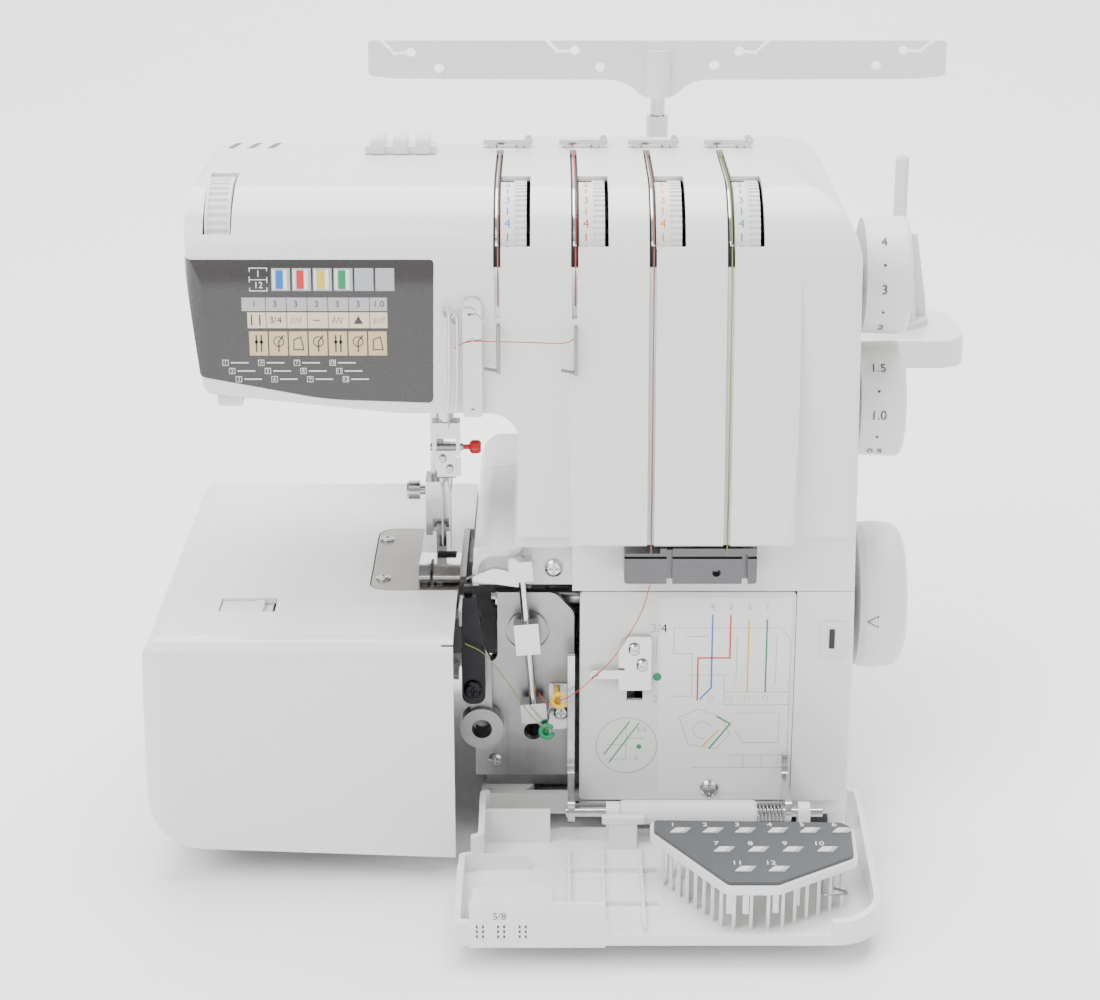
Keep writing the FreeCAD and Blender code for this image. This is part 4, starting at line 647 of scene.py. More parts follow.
class SERGER_OT_finishes(bpy.types.Operator):
    """Give every CAD part its finish"""
    bl_idname = "serger.finishes"
    bl_label = "Finishes"

    def execute(self, context):
        make_materials()
        for finish, nodes in FINISHES.items():
            for node in nodes:
                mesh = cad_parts[node].data
                mesh.materials.clear()
                mesh.materials.append(bpy.data.materials[finish])
        left = set(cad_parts) - {n for nodes in FINISHES.values() for n in nodes}
        if left:
            raise RuntimeError(f"no finish for {sorted(left)}")
        return {"FINISHED"}


# ------------------------------------------------------------------ stage

CAMERA_PITCH = math.radians(20.0)
CAMERA_REACH = 1.08
CAMERA_LENS = 80.57
CAMERA_AIM = 0.1413

# Each light: its name, its place and the side of its square in metres, its watts.
LIGHTS = (
    ("Key", (-1.4, -1.6, 2.3), 2.2, 92.0),
    ("Fill", (1.9, -1.3, 1.5), 2.0, 20.0),
    ("Top", (0.1, 0.7, 2.7), 2.4, 170.0),
)
SKY_STRENGTH = 0.58


class SERGER_OT_stage(bpy.types.Operator):
    """Floor, soft studio light and the camera"""
    bl_idname = "serger.stage"
    bl_label = "Stage"

    def execute(self, context):
        self.floor()
        for lamp in LIGHTS:
            self.light(*lamp)
        world = bpy.data.worlds.new("Studio")
        world.use_nodes = True
        sky = world.node_tree.nodes["Background"]
        sky.inputs["Color"].default_value = (1.0, 1.0, 1.0, 1.0)
        sky.inputs["Strength"].default_value = SKY_STRENGTH
        context.scene.world = world
        self.camera(context)
        return {"FINISHED"}

    def floor(self):
        """Sheet that runs level and then sweeps up: a quarter circle at the back."""
        size = sizes().floor_size
        sweep, rise, behind = 0.8, 2.2, 1.6
        a = np.linspace(0, math.pi / 2, 24)
        level = np.stack([np.linspace(-size / 2, behind, 20), np.zeros(20)], -1)
        bend = np.stack([behind + np.sin(a) * sweep, sweep - np.cos(a) * sweep], -1)
        top = np.array([[behind + sweep, sweep + rise]])
        line = np.concatenate([level, bend[1:], top])
        x = np.linspace(-size / 2, size / 2, 12)
        points = np.zeros((len(line), len(x), 3))
        points[..., 0] = x[None, :]
        points[..., 1] = line[:, None, 0]
        points[..., 2] = line[:, None, 1] - 0.0002
        p, f = grid(points)
        mesh = bpy.data.meshes.new("studio_floor")
        mesh.from_pydata(p.tolist(), [], f)
        mesh.polygons.foreach_set("use_smooth", [True] * len(mesh.polygons))
        floor = bpy.data.objects.new("studio_floor", mesh)
        bpy.context.scene.collection.objects.link(floor)
        paint = plastic("Studio floor", colours().floor, 0.6, grain=60.0, bump=0.02,
                        dust=0.0, tint=0.01)
        mesh.materials.append(paint)

    def light(self, name, spot, size, power):
        """Square area light that looks at the middle of the machine."""
        data = bpy.data.lights.new(name, "AREA")
        data.size = size
        data.energy = power
        lamp = bpy.data.objects.new(name, data)
        bpy.context.scene.collection.objects.link(lamp)
        lamp.location = spot
        way = np.array([0.0, 0.0, 0.15]) - np.array(spot)
        level = math.hypot(way[0], way[1])
        lamp.rotation_euler = (
            math.atan2(level, -way[2]), 0.0, math.atan2(way[1], way[0]) - math.pi / 2)

    def camera(self, context):
        """Level camera that looks down by the pitch at the machine's middle."""
        data = bpy.data.cameras.new("Camera")
        data.sensor_fit = "HORIZONTAL"
        data.sensor_width = 36.0
        data.lens = CAMERA_LENS
        data.clip_end = 30.0
        camera = bpy.data.objects.new("Camera", data)
        context.scene.collection.objects.link(camera)
        camera.location = (
            ZERO[0], ZERO[1] - CAMERA_REACH * math.cos(CAMERA_PITCH),
            CAMERA_AIM + CAMERA_REACH * math.sin(CAMERA_PITCH),
        )
        camera.rotation_euler = (math.pi / 2 - CAMERA_PITCH, 0.0, 0.0)
        context.scene.camera = camera


# ------------------------------------------------------------------ program panel

CELL = 8.42 * MM
CELLS = 7
ROW_LEFT = -125.0 * MM
WINDOW_Z = 249.6 * MM
WINDOW_TALL = 9.2 * MM
SETTING_Z = 241.2 * MM
SETTING_TALL = 5.6 * MM
SIGN_Z = 234.0 * MM
SIGN_TALL = 6.6 * MM
PICTURE_Z = 222.4 * MM
PICTURE_TALL = 10.2 * MM
LIST_Z = 219.3 * MM


class SERGER_OT_panel(bpy.types.Operator):
    """Printing of the program panel"""
    bl_idname = "serger.panel"
    bl_label = "Program panel"

    def execute(self, context):
        self.tall = sizes().ink_height
        self.windows()
        self.settings_row()
        self.signs_row()
        self.pictures_row()
        self.number_list()
        return {"FINISHED"}

    def put(self, name, shapes, finish):
        piece(name, [laid(s, front_surface) for s in shapes], finish, "root",
              smooth=False)

    def fine(self, x0, x1, y0, y1, height, low=0.0):
        """Rectangle in strips, so that it follows the arm's curved edge."""
        cuts = np.linspace(y0, y1, 6)
        return merged([patch(x0, x1, a, b, height, low) for a, b in zip(cuts, cuts[1:])])

    def windows(self):
        """Program number window, four thread tabs with painted highlights beside them, and two
        pale windows.
        """
        tall = self.tall
        tab = 0.34 * CELL
        left = ROW_LEFT + 0.42 * CELL
        inset = 0.05 * CELL
        frame_line = np.array([
            [left, WINDOW_Z], [left + 0.84 * CELL, WINDOW_Z],
            [left + 0.84 * CELL, WINDOW_Z + WINDOW_TALL * 0.5],
            [left + 0.84 * CELL, WINDOW_Z + WINDOW_TALL],
            [left, WINDOW_Z + WINDOW_TALL], [left, WINDOW_Z + WINDOW_TALL * 0.5],
        ])
        mid = left + 0.42 * CELL
        half_line = [[left, WINDOW_Z + WINDOW_TALL / 2],
                     [left + 0.84 * CELL, WINDOW_Z + WINDOW_TALL / 2]]
        marks = [stroke(frame_line, 0.35 * MM, tall, closed=True),
                 stroke(half_line, 0.3 * MM, tall),
                 digits("1", 2.6 * MM, mid, WINDOW_Z + WINDOW_TALL * 0.75, tall),
                 digits("12", 2.6 * MM, mid, WINDOW_Z + WINDOW_TALL * 0.25, tall)]
        self.put("panel_program_number", marks, "White ink")
        cells, tabs = [], {}
        inks = ["Blue ink", "Red ink", "Yellow ink", "Green ink"]
        for i in range(6):
            x = left + (i + 1) * CELL
            cells.append(self.fine(x + inset, x + CELL - inset, WINDOW_Z,
                                   WINDOW_Z + WINDOW_TALL, tall))
            if i < 4:
                middle = x + CELL / 2 - 0.06 * CELL
                tabs[inks[i]] = [
                    self.fine(middle - tab / 2, middle + tab / 2, WINDOW_Z + 0.9 * MM,
                              WINDOW_Z + WINDOW_TALL - 0.9 * MM, 2.2 * tall, tall),
                ]
        self.put("panel_windows", cells, "Grey cell")
        # White strips either side of each tab are painted highlights on the window glass, in
        # white ink.
        shine = []
        for i in range(4):
            x = left + (i + 1) * CELL
            shine.append(self.fine(x + 0.62 * CELL, x + 0.80 * CELL, WINDOW_Z + 0.6 * MM,
                                   WINDOW_Z + WINDOW_TALL - 0.6 * MM, 2.0 * tall, tall))
            shine.append(self.fine(x + 0.10 * CELL, x + 0.22 * CELL, WINDOW_Z + 0.6 * MM,
                                   WINDOW_Z + WINDOW_TALL - 0.6 * MM, 2.0 * tall, tall))
        self.put("panel_tab_painted_highlights", shine, "White ink")
        for ink, shapes in tabs.items():
            self.put("panel_tab_" + ink.split()[0].lower(), shapes, ink)

    def settings_row(self):
        """Grey row with the stored setting of each control."""
        tall = self.tall
        right = ROW_LEFT + CELLS * CELL
        self.put("panel_setting_row", [
            patch(ROW_LEFT, right, SETTING_Z, SETTING_Z + SETTING_TALL, tall)],
            "Grey cell")
        values = ["1", "3", "3", "3", "3", "3", "1.0"]
        marks = []
        for i, value in enumerate(values):
            x = ROW_LEFT + (i + 0.6) * CELL
            marks.append(digits(value, 2.7 * MM, x, SETTING_Z + SETTING_TALL / 2, 2 * tall))
            if i:
                edge = ROW_LEFT + (i + 0.15) * CELL
                marks.append(stroke([[edge, SETTING_Z], [edge, SETTING_Z + SETTING_TALL]],
                                    0.25 * MM, 2 * tall))
        self.put("panel_setting_values", marks, "Ink")

    def signs_row(self):
        """Pale tan row with plain signs: bars, dashes and a triangle."""
        tall = self.tall
        left, right = ROW_LEFT + 0.25 * CELL, ROW_LEFT + CELLS * CELL
        self.put("panel_sign_row", [
            patch(left, right, SIGN_Z, SIGN_Z + SIGN_TALL, tall)], "Pale tan cell")
        middle = SIGN_Z + SIGN_TALL / 2
        marks = []
        for i in range(1, CELLS):
            edge = ROW_LEFT + (i + 0.15) * CELL
            marks.append(stroke([[edge, SIGN_Z], [edge, SIGN_Z + SIGN_TALL]],
                                0.25 * MM, 2 * tall))
        for k in (0.45, 0.85):
            x = ROW_LEFT + k * CELL
            marks.append(stroke([[x, middle - 2.2 * MM], [x, middle + 2.2 * MM]],
                                0.6 * MM, 2 * tall))
        marks.append(digits("3/4", 2.9 * MM, ROW_LEFT + 1.6 * CELL, middle, 2 * tall))
        for i, wave in ((2, 2), (4, 1), (6, 3)):
            x = ROW_LEFT + (i + 0.35) * CELL
            steps = np.linspace(0, 1, 4 * wave + 2)
            line = np.column_stack([
                x + steps * 0.5 * CELL,
                middle + 1.3 * MM * np.where(np.arange(len(steps)) % 2 == 0, -1, 1)])
            marks.append(stroke(line, 0.35 * MM, 2 * tall))
        dash = ROW_LEFT + 3.4 * CELL
        marks.append(stroke([[dash, middle], [dash + 0.35 * CELL, middle]],
                            0.4 * MM, 2 * tall))
        peak = ROW_LEFT + 5.6 * CELL
        marks.append(laid_triangle(peak, middle, 1.9 * MM, 2 * tall))
        self.put("panel_signs", marks, "Ink")

    def pictures_row(self):
        """Tan cells with small line drawings of the controls."""
        tall = self.tall
        left = ROW_LEFT + 0.28 * CELL
        width = (CELLS - 0.28) * CELL / CELLS
        cells, marks = [], []
        for i in range(CELLS):
            x0 = left + i * width
            cells.append(patch(x0 + 0.02 * CELL, x0 + width - 0.05 * CELL, PICTURE_Z,
                               PICTURE_Z + PICTURE_TALL, tall))
            cx, cy = x0 + width / 2, PICTURE_Z + PICTURE_TALL / 2
            r = 0.24 * CELL
            if i in (1, 3, 5):
                marks.append(stroke(circle_path(cx, cy + 0.8 * MM, r, 20), 0.4 * MM,
                                    2 * tall, closed=True))
                marks.append(stroke([[cx, cy - 3.6 * MM], [cx, cy + 0.8 * MM],
                                     [cx + r, cy + 3.4 * MM]], 0.55 * MM, 2 * tall))
            elif i in (2, 6):
                marks.append(stroke([[cx - r, cy - 2.6 * MM], [cx + r, cy - 2.6 * MM],
                                     [cx + 0.5 * r, cy + 2.8 * MM],
                                     [cx - 0.9 * r, cy + 1.6 * MM]], 0.45 * MM,
                                    2 * tall, closed=True))
            else:
                for k in (-0.5, 0.5):
                    marks.append(stroke([[cx + k * r, cy - 3.6 * MM],
                                         [cx + k * r, cy + 3.6 * MM]], 0.6 * MM,
                                        2 * tall))
                    marks.append(disc(cx + k * r, cy + 0.6 * MM, 0.75 * MM, 2 * tall, 14))
        self.put("panel_picture_cells", cells, "Tan cell")
        self.put("panel_pictures", marks, "Ink")

    def number_list(self):
        """Twelve small numbered squares, three to a column."""
        tall = self.tall
        frames, numbers = [], []
        for i in range(12):
            column, row = divmod(i, 3)
            x = ROW_LEFT - 7.6 * MM + column * 14.6 * MM + row * 2.6 * MM
            z = LIST_Z - row * 3.5 * MM
            side = 1.15 * MM
            square = np.array([[x - side, z - side], [x + side, z - side],
                               [x + side, z + side], [x - side, z + side]])
            frames.append(stroke(square, 0.22 * MM, tall, closed=True))
            frames.append(stroke([[x + 2.2 * MM, z], [x + 9.4 * MM, z]], 0.5 * MM, tall))
            numbers.append(digits(str(i + 1), 1.5 * MM, x, z, tall))
        self.put("panel_number_list", frames + numbers, "White ink")


def laid_triangle(x, y, size, height):
    """Filled triangle that points up."""
    flat = np.array([[x - size, y - size * 0.8], [x + size, y - size * 0.8], [x, y + size]])
    points = np.concatenate([np.column_stack([flat, np.zeros(3)]),
                             np.column_stack([flat, np.full(3, height)])])
    faces = [[2, 1, 0], [3, 4, 5]] + [[i, (i + 1) % 3, (i + 1) % 3 + 3, i + 3]
                                      for i in range(3)]
    return points, faces


# ------------------------------------------------------------------ dials

DIAL_INKS = ["Blue ink", "Red ink", "Orange ink", "Green ink"]
DIAL_STEP = math.radians(27.0)
DIAL_MIDDLE = math.radians(56.0)
SIDE_STEP = math.radians(48.0)


class SERGER_OT_dial_marks(bpy.types.Operator):
    """Numbers and bars on the tension dials, side dials and handwheel"""
    bl_idname = "serger.dial_marks"
    bl_label = "Dial marks"

    def execute(self, context):
        for i, ink in enumerate(DIAL_INKS):
            self.tension(i + 1, ink)
        self.side("differential_dial", "differential", ["2", "3", "4"])
        self.side("stitch_length_dial", "stitch_length", ["0.5", "1.0", "1.5"])
        self.handwheel()
        return {"FINISHED"}

    def tension(self, number, ink):
        """Digits 0 to 9 round the band, with a bar between each two."""
        surface, radius = wheel_surface(f"tension_dial_{number}", 2.8 * MM, 0.7 * MM)
        tall = sizes().ink_height
        marks = []
        for value in range(10):
            along = radius * (DIAL_MIDDLE - (value - 3) * DIAL_STEP)
            marks.append(digits(str(value), sizes().digit_height, 0.0, along, tall))
            if value < 9:
                centre = along - radius * DIAL_STEP / 2
                bar = np.linspace(centre - 1.7 * MM, centre + 1.7 * MM, 4)
                line = np.column_stack([np.zeros(4), bar])
                marks.append(stroke(line, 0.5 * MM, tall))
        piece(f"tension_marks_{number}", [laid(m, surface) for m in marks], ink,
              f"tension_{number}", smooth=False)

    def side(self, node, body, values):
        """Numbers with a dot between them, round the side dial's rim."""
        surface, radius = wheel_surface(node, 27.0 * MM)
        tall = sizes().ink_height
        marks = []
        for i, value in enumerate(values):
            along = radius * SIDE_STEP * (i - 1)
            marks.append(digits(value, 4.0 * MM, 0.0, along, tall))
            marks.append(disc(0.0, along - radius * SIDE_STEP / 2, 0.6 * MM, tall, 16))
        piece(node + "_marks", [laid(m, surface) for m in marks], "Ink", body,
              smooth=False)

    def handwheel(self):
        """Outlined triangle that points at the body."""
        surface, _ = wheel_surface("handwheel", 5.6 * MM)
        size = 2.6 * MM
        line = np.array([[-size, 0.0], [size * 0.8, size], [size * 0.8, -size]])
        piece("handwheel_mark",
              [laid(stroke(line, 0.4 * MM, sizes().ink_height, closed=True), surface)],
              "Ink", "drive", smooth=False)


# ------------------------------------------------------------------ diagram plate

class SERGER_OT_diagram(bpy.types.Operator):
    """Threading diagram printed on the inner plate"""
    bl_idname = "serger.diagram"
    bl_label = "Diagram"

    def execute(self, context):
        film = [patch(47.0 * MM, 103.0 * MM, 22.0 * MM, 114.0 * MM, 0.06 * MM)]
        self.put("diagram_film", film, "Label film")
        self.coloured_lines()
        self.outlines()
        self.detail()
        return {"FINISHED"}

    def put(self, name, shapes, finish):
        piece(name, [laid(s, diagram_surface) for s in shapes], finish, "root",
              smooth=False)

    def line(self, points, width=0.45, lift=0.12, closed=False):
        return stroke(np.array(points) * MM, width * MM, lift * MM, closed)

    def coloured_lines(self):
        """Four thread routes, each from the top down to its guide."""
        lines = {
            "Blue ink": [[[69.4, 106.0], [69.4, 72.0], [64.5, 66.5]]],
            "Red ink": [[[77.1, 106.0], [77.1, 86.0], [63.5, 86.0], [63.5, 66.0]]],
            "Yellow ink": [[[84.9, 104.0], [84.9, 70.0]], [[66.0, 44.0], [73.0, 52.0]]],
            "Green ink": [[[92.7, 104.0], [92.7, 70.0]], [[69.0, 43.0], [78.0, 55.0],
                                                          [72.0, 58.5]]],
        }
        for ink, routes in lines.items():
            self.put("diagram_" + ink.split()[0].lower(),
                     [self.line(r, 0.7) for r in routes], ink)

    def outlines(self):
        """Grey line drawing of the machine's front and its guides."""
        shapes = [
            [[53.0, 100.0], [99.0, 100.0], [103.0, 94.0], [103.0, 34.0], [62.0, 34.0]],
            [[53.0, 100.0], [53.0, 88.0], [61.0, 88.0], [61.0, 68.0], [53.0, 68.0]],
            [[60.0, 78.0], [75.0, 78.0], [75.0, 70.0], [103.0, 70.0]],
            [[75.0, 70.0], [75.0, 64.0], [103.0, 64.0]],
            [[56.0, 58.0], [64.0, 62.0], [74.0, 58.0], [78.0, 50.0], [72.0, 43.0],
             [60.0, 45.0], [56.0, 58.0]],
            [[80.0, 60.0], [99.0, 60.0], [99.0, 46.0], [84.0, 46.0], [80.0, 52.0]],
            [[78.0, 40.0], [103.0, 40.0]], [[84.0, 34.0], [84.0, 40.0]],
            [[92.0, 34.0], [92.0, 40.0]], [[58.0, 96.0], [68.0, 96.0]],
            [[80.0, 96.0], [80.0, 74.0]], [[97.0, 96.0], [97.0, 74.0]],
        ]
        marks = [self.line(s, 0.3, 0.10) for s in shapes]
        for x in (69.4, 77.1, 84.9, 92.7):
            marks.append(stroke(circle_path(x * MM, 67.0 * MM, 1.2 * MM, 16), 0.25 * MM,
                                0.1 * MM, closed=True))
        marks.append(stroke(circle_path(66.0 * MM, 52.0 * MM, 4.0 * MM, 24, 0.4, 4.6),
                            0.3 * MM, 0.1 * MM))
        self.put("diagram_outlines", marks, "Faint ink")
        numbers = [digits(str(4 - i), 2.8 * MM, x * MM, 109.6 * MM, 0.12 * MM)
                   for i, x in enumerate((69.4, 77.1, 84.9, 92.7))]
        numbers.append(digits("3/4", 4.0 * MM, 46.5 * MM, 99.6 * MM, 0.06 * MM))
        numbers.append(digits("2", 3.6 * MM, 45.4 * MM, 66.4 * MM, 0.06 * MM))
        numbers.append(self.line([[45.6, 96.0], [45.6, 84.0]], 0.3, 0.06))
        self.put("diagram_numbers", numbers, "Faint ink")

    def detail(self):
        """Round enlarged detail with its two slanted threads, and the green dots."""
        cx, cy, r = 33.2, 44.6, 13.2
        marks = [stroke(circle_path(cx * MM, cy * MM, r * MM, 48), 0.4 * MM, 0.08 * MM,
                        closed=True)]
        for shape in ([[24.5, 38.0], [33.0, 38.0], [33.0, 54.0]],
                      [[33.0, 48.0], [41.0, 48.0]], [[24.5, 45.0], [33.0, 45.0]]):
            marks.append(self.line(shape, 0.35, 0.08))
        marks.append(digits("3/4", 2.4 * MM, 39.6 * MM, 52.0 * MM, 0.08 * MM))
        marks.append(digits("2", 2.4 * MM, 37.4 * MM, 38.6 * MM, 0.08 * MM))
        self.put("diagram_detail", marks, "Faint ink")
        green = [self.line([[25.6, 36.4], [38.6, 55.4]], 0.5, 0.1),
                 self.line([[23.4, 40.2], [34.6, 56.2]], 0.5, 0.1),
                 disc(46.1 * MM, 77.1 * MM, 1.9 * MM, 0.08 * MM),
                 disc(38.6 * MM, 44.0 * MM, 1.1 * MM, 0.08 * MM)]
        self.put("diagram_green_marks", green, "Green ink")


# ------------------------------------------------------------------ chart plate

class SERGER_OT_chart(bpy.types.Operator):
    """Stitch chart with twelve numbered samples"""
    bl_idname = "serger.chart"
    bl_label = "Stitch chart"

    def execute(self, context):
        rows = [(1, 6, 49.5, 13.4, -104.5), (7, 10, 66.5, 14.0, -121.0),
                (11, 12, 74.0, 13.4, -137.5)]
        fabric, edges, numbers = [], [], []
        for first, last, start, pitch, y in rows:
            for n in range(first, last + 1):
                x = start + (n - first) * pitch
                fabric.append(patch(x * MM, (x + 6.4) * MM, (y - 3.4) * MM,
                                    (y + 0.4) * MM, 0.5 * MM, slant=2.6 * MM))
                edges.append(patch((x + 4.2) * MM, (x + 6.4) * MM, (y - 3.2) * MM,
                                   (y + 0.2) * MM, 0.62 * MM, 0.5 * MM, slant=2.5 * MM))
                for k in range(3):
                    row = y - 2.6 + k * 1.0
                    edges.append(stroke(np.array([
                        [x + 0.8 + k * 0.6, row], [x + 3.9 + k * 0.6, row]]) * MM,
                        0.22 * MM, 0.56 * MM))
                numbers.append(digits(str(n), 3.2 * MM, (x + 1.4) * MM,
                                      (y + 3.8) * MM, 0.1 * MM))
        for name, shapes, finish in (("chart_samples", fabric, "White ink"),
                                     ("chart_stitches", edges, "Faint ink"),
                                     ("chart_numbers", numbers, "White ink")):
            piece(name, [laid(s, chart_surface) for s in shapes], finish, "bay_cover",
                  smooth=False)
        return {"FINISHED"}


# ------------------------------------------------------------------ cover fittings

COVER_FLOOR = 12.1


class SERGER_OT_cover_fittings(bpy.types.Operator):
    """Ribs, prongs, wire hook and seam guide marks of the open looper cover"""
    bl_idname = "serger.cover_fittings"
    bl_label = "Cover fittings"

    def execute(self, context):
        self.ribs()
        self.hook()
        self.seam_marks()
        return {"FINISHED"}

    def block(self, x0, x1, y0, y1, z0, z1, e=0.12):
        centre = place((x0 + x1) / 2, (y0 + y1) / 2, (z0 + z1) / 2)
        return pillow(centre, np.array([x1 - x0, y1 - y0, z1 - z0]) * MM, e, 12, 24)

    def ribs(self):
        """Upright prongs under the chart's far edge and stiffening ribs beside it."""
        shapes = []
        edge = [(45.0, -108.0), (70.0, -146.5), (90.5, -146.5), (121.0, -127.0)]
        for (ax, ay), (bx, by) in zip(edge, edge[1:]):
            count = int(math.hypot(bx - ax, by - ay) / 5.4)
            for k in range(count):
                t = (k + 0.5) / count
                x, y = ax + (bx - ax) * t, ay + (by - ay) * t
                shapes.append(self.block(x - 0.7, x + 0.7, y - 1.6, y + 1.2,
                                         COVER_FLOOR - 0.5, 29.6))
        for x in (8.0, 22.0, 38.0):
            shapes.append(self.block(x - 0.6, x + 0.6, -150.0, -84.0,
                                     COVER_FLOOR - 0.5, COVER_FLOOR + 3.0))
        for y in (-100.0, -128.0):
            shapes.append(self.block(6.0, 44.0, y - 0.6, y + 0.6,
                                     COVER_FLOOR - 0.5, COVER_FLOOR + 2.4))
        shapes.append(self.block(25.0, 37.0, -80.0, -77.6, COVER_FLOOR - 0.5, 26.4))
        shapes.append(self.block(22.0, 40.0, -80.4, -77.2, 24.0, 27.2))
        shapes.append(self.block(-34.0, -8.0, -98.0, -96.4, COVER_FLOOR - 0.5, 19.0))
        shapes.append(self.block(112.0, 113.4, -120.0, -84.0, COVER_FLOOR - 0.5, 22.0))
        piece("cover_ribs", shapes, "Glossy shell", "bay_cover")

    def hook(self):
        """Bent wire hook beside the chart."""
        route = [place(*p) for p in (
            (110.0, -141.0, 24.0), (114.0, -142.0, 25.0), (118.5, -141.0, 24.4),
            (119.6, -137.0, 23.0), (117.4, -134.0, 22.4), (115.0, -132.0, 22.0))]
        piece("cover_wire_hook", [tube(smooth_path(route), 0.55 * MM)], "Spring wire",
              "bay_cover")

    def seam_marks(self):
        """Dotted seam guide lines and the number of the wide one."""
        low, _ = node_box("looper_cover")
        shapes = []

        def face(x, y, height):
            return np.column_stack([ZERO[0] + x, np.full(len(x), low[1]) - height, y])

        tall = sizes().ink_height
        for x in (-29.0, -26.6, -20.6, -18.2, -12.0, -9.6):
            for k in range(3):
                z = 13.0 + k * 2.2
                shapes.append(patch((x - 0.4) * MM, (x + 0.4) * MM, z * MM,
                                    (z + 1.3) * MM, tall))
        shapes.append(digits("5/8", 3.0 * MM, -20.0 * MM, 22.6 * MM, tall))
        piece("seam_guide_marks", [laid(s, face) for s in shapes], "Ink", "bay_cover",
              smooth=False)


# ------------------------------------------------------------------ arm and thread path

SLOTS = [-21.5, 10.0, 41.7, 73.3]
SLOT_FEET = [238.0, 238.0, 258.0, 258.0]


def over_edge(start_y, foot_z, depth, count=40):
    """Line from the top, round the front edge and down, at a depth under the skin.
    In the layout's YZ plane: level, then a quarter circle, then upright."""
    r = SHELL_ROUND - depth
    level = [[start_y, SHELL_TOP - depth], [10.0, SHELL_TOP - depth]]
    a = np.linspace(0, math.pi / 2, count)
    bend = np.column_stack([ROUND_Y - np.sin(a) * r, ROUND_Z + np.cos(a) * r])
    foot = [[SHELL_FRONT + depth, foot_z]]
    line = np.concatenate([level, bend, foot])
    keep = line[:, 1] >= foot_z - 1e-6
    return line[keep]


class SERGER_OT_thread_channels(bpy.types.Operator):
    """Black strips painted as the shade deep in the four thread slots, and bright strips in
    them
    """
    bl_idname = "serger.thread_channels"
    bl_label = "Thread channels"

    def execute(self, context):
        for i, (x, foot) in enumerate(zip(SLOTS, SLOT_FEET)):
            # The black strip at each slot's bottom is painted shade: it darkens the slot where
            # only shadow falls.
            self.strip(f"slot_liner_{i + 1}", x, 5.0, 42.0, foot, 3.4, 0.8,
                       "Black plastic", "black_plastic")
            self.strip(f"slot_spring_{i + 1}", x, 1.3, 40.0, 268.0, 1.2, 0.4,
                       "Bright plating", "bright_steel")
        return {"FINISHED"}

    def strip(self, name, x, width, start, foot, depth, thick, finish, slot):
        """Flat bar bent over the front edge: a rectangle carried along the line."""
        line = over_edge(start, foot, depth)
        path = np.column_stack([np.full(len(line), x), line])
        path = ZERO + path * MM
        w, t = width * MM / 2, thick * MM / 2
        profile = np.array([[-w, -t], [w, -t], [w, t], [-w, t]])
        piece(name, [carried(path, profile)], finish, "root", smooth=False)


class SERGER_OT_threads(bpy.types.Operator):
    """Sewing threads from the top guides to the needles and loopers"""
    bl_idname = "serger.threads"
    bl_label = "Threads"

    def execute(self, context):
        names = ["Brown thread", "Red thread", "Brown thread", "Green thread"]
        feet = [243.0, 243.0, None, None]
        for i, (x, finish) in enumerate(zip(SLOTS, names)):
            line = over_edge(47.0, feet[i] or 255.0, 0.5)
            path = np.column_stack([np.full(len(line), x + 0.35), line])
            if feet[i] is None:
                down = [[x + 0.35, -52.4, 240.0], [x + 0.35, -59.0, 165.0],
                        [x + 0.35, -60.2, 143.0], [x + 0.35, -58.4, 138.6]]
                path = np.concatenate([path, down])
            self.thread(f"thread_slot_{i + 1}", path, finish, 1.25)
        self.thread("thread_needle_left", smooth_path([
            [10.6, -55.6, 232.0], [6.0, -55.4, 229.2], [-10.0, -55.2, 229.4],
            [-27.0, -54.4, 229.6], [-34.0, -53.8, 229.0], [-39.0, -52.0, 226.0],
        ]), "Red thread")
        self.thread("thread_takeup", smooth_path([
            [-21.0, -54.6, 232.0], [-25.0, -54.8, 236.0], [-32.0, -54.6, 242.0],
            [-38.0, -53.0, 244.0], [-41.0, -52.0, 234.0], [-42.0, -47.0, 205.0],
            [-43.4, -20.0, 186.0], [-43.6, -6.4, 176.0],
        ]), "White thread")
        self.thread("thread_looper_red", smooth_path([
            [42.0, -57.4, 124.6], [38.0, -56.0, 110.0], [28.0, -52.0, 90.0],
            [19.6, -50.8, 79.8], [10.0, -52.6, 72.0], [4.6, -52.6, 69.0],
            [-1.0, -50.6, 66.0], [-5.0, -51.2, 72.0],
        ]), "Red thread")
        self.thread("thread_looper_green", smooth_path([
            [-1.3, -52.4, 55.0], [-9.0, -54.6, 64.0], [-18.0, -56.0, 79.0],
            [-27.6, -56.4, 92.0], [-36.0, -56.0, 97.0],
        ]), "Green thread")
        return {"FINISHED"}

    def thread(self, name, path, finish, factor=1.0):
        """Round thread along layout points in mm."""
        route = ZERO + np.asarray(path, float) * MM
        piece(name, [tube(route, sizes().thread_radius * factor, 8)], finish, "root")


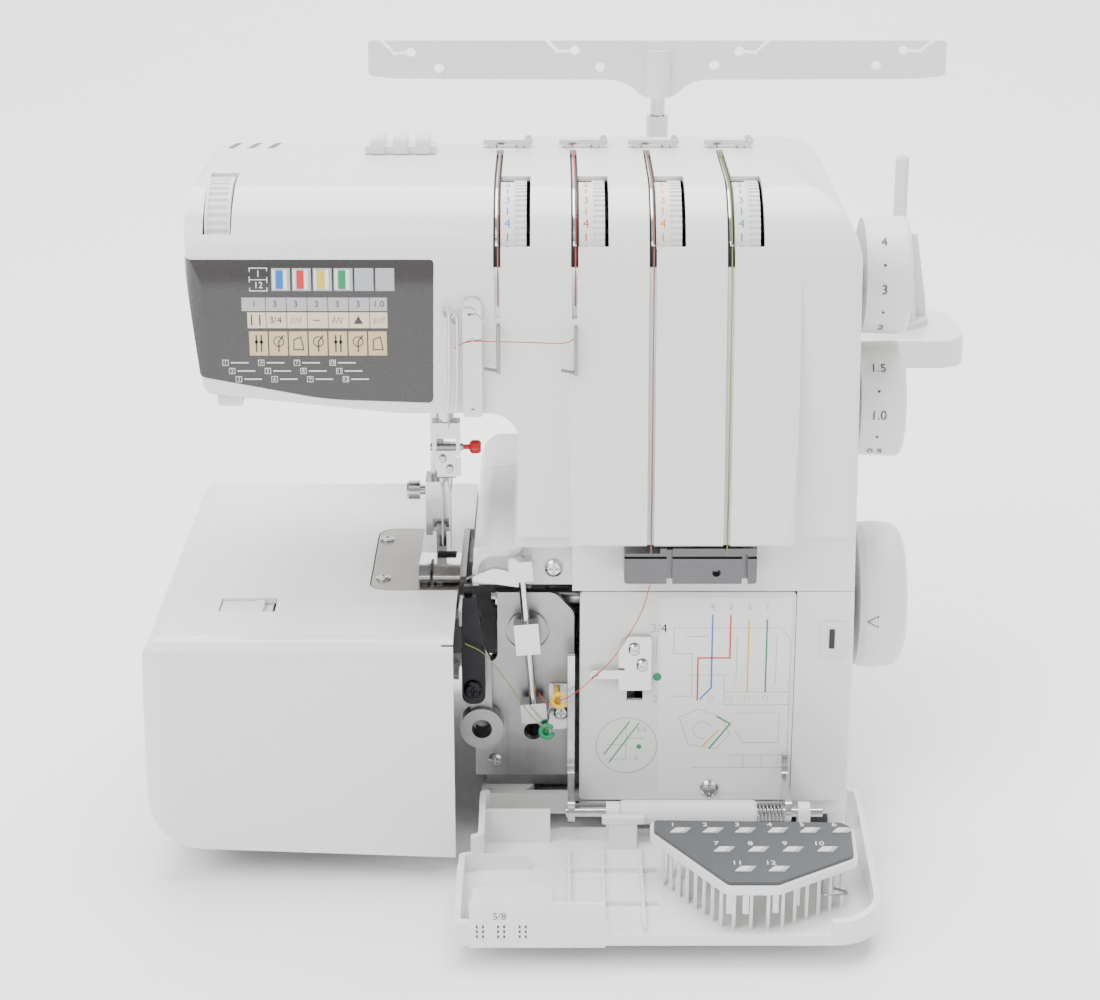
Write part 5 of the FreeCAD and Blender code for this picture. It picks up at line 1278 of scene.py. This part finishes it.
class SERGER_OT_arm_trim(bpy.types.Operator):
    """Wire take-up loops, underside tab and cover latch"""
    bl_idname = "serger.arm_trim"
    bl_label = "Arm trim"

    def execute(self, context):
        self.takeup_wires()
        self.tab()
        self.latch()
        return {"FINISHED"}

    def takeup_wires(self):
        """Two bright wire loops that lead the needle threads."""
        for k, x in enumerate((-42.6, -39.2)):
            top = 243.0 - 3.0 * k
            route = [[x, -50.0, top - 4], [x - 0.6, -52.2, top - 1.6], [x, -53.2, top],
                     [x + 1.5, -53.2, top - 1.4], [x + 1.4, -53.0, 220.0],
                     [x + 1.0, -52.8, 206.0], [x + 0.4, -52.4, 199.6]]
            path = ZERO + smooth_path(route) * MM
            piece(f"takeup_wire_{k + 1}", [tube(path, 0.62 * MM, 12)],
                  "Bright plating", "root")

    def tab(self):
        """Small thread cutter tab under the arm's left end."""
        body = pillow(place(-131.6, -44.6, 203.4), np.array([11.0, 6.0, 3.0]) * MM, 0.2)
        lip = pillow(place(-131.6, -47.8, 202.4), np.array([10.4, 1.6, 4.4]) * MM, 0.3)
        piece("thread_cutter_tab", [body, lip], "Fitting plastic", "root")

    def latch(self):
        """Steel keeper plate for the looper cover, with a black piece painted as the shade of
        its slot.
        """
        plate = pillow(place(121.0, -46.5, 95.0), np.array([11.0, 1.4, 16.0]) * MM, 0.14)
        piece("cover_keeper", [plate], "Fitting plastic", "root")
        # Black piece laid on the plate: painted shade where the slot's opening would be.
        slot = pillow(place(120.4, -47.3, 95.4), np.array([2.4, 0.5, 9.0]) * MM, 0.2)
        piece("cover_keeper_painted_slot_shade", [slot], "Black plastic", "root")


class SERGER_OT_looper_fittings(bpy.types.Operator):
    """Coloured thread guides and small details in the looper bay"""
    bl_idname = "serger.looper_fittings"
    bl_label = "Looper fittings"

    def execute(self, context):
        self.guide("looper_guide_yellow", 3.9, 68.9, 3.0, "Yellow ink")
        self.guide("looper_guide_green", -1.3, 54.3, 2.8, "Green ink")
        self.arm()
        return {"FINISHED"}

    def guide(self, name, x, z, radius, finish):
        """Open ring on a short stem: a wire bent round most of a circle."""
        a = np.linspace(0.6, 2 * math.pi - 0.3, 26)
        loop = np.column_stack([x + np.cos(a) * radius, np.full(26, -52.4),
                                z + np.sin(a) * radius])
        stem = np.array([[x - radius * 0.3, -38.2, z - 1.0],
                         [x - radius * 0.3, -45.0, z - 1.0],
                         [x - radius * 0.2, -51.2, z - 1.6]])
        shapes = [tube(ZERO + loop * MM, 0.95 * MM, 12),
                  tube(ZERO + stem * MM, 1.5 * MM, 12)]
        piece(name, shapes, finish, "root")

    def arm(self):
        """Sheet steel carrier of the two guides, fixed by the screw."""
        plate = pillow(place(4.0, -38.7, 60.0), np.array([9.6, 1.2, 22.0]) * MM, 0.16)
        piece("looper_guide_carrier", [plate], "Bright plating", "root")


# ------------------------------------------------------------------ panel and run

OPERATORS = (
    SERGER_OT_finishes, SERGER_OT_stage, SERGER_OT_panel, SERGER_OT_dial_marks,
    SERGER_OT_diagram, SERGER_OT_chart, SERGER_OT_cover_fittings,
    SERGER_OT_thread_channels, SERGER_OT_threads, SERGER_OT_arm_trim,
    SERGER_OT_looper_fittings,
)


class SERGER_PT_tools(bpy.types.Panel):
    """Lists the machine's settings and the steps that make its looks"""
    bl_idname = "SERGER_PT_tools"
    bl_label = "Serger"
    bl_space_type = "VIEW_3D"
    bl_region_type = "UI"
    bl_category = "Serger"

    def draw(self, context):
        for settings in (context.scene.serger_colours, context.scene.serger_sizes):
            for name in settings.__annotations__:
                self.layout.prop(settings, name)
        for operator in OPERATORS:
            self.layout.operator(operator.bl_idname)


CLASSES = (SergerColours, SergerSizes) + OPERATORS + (SERGER_PT_tools,)


def register():
    for cls in CLASSES:
        bpy.utils.register_class(cls)
    bpy.types.Scene.serger_colours = PointerProperty(type=SergerColours)
    bpy.types.Scene.serger_sizes = PointerProperty(type=SergerSizes)


def unregister():
    del bpy.types.Scene.serger_sizes
    del bpy.types.Scene.serger_colours
    for cls in reversed(CLASSES):
        bpy.utils.unregister_class(cls)


def main():
    register()
    for operator in OPERATORS:
        group, name = operator.bl_idname.split(".")
        getattr(getattr(bpy.ops, group), name)()


if __name__ == "__main__":
    main()
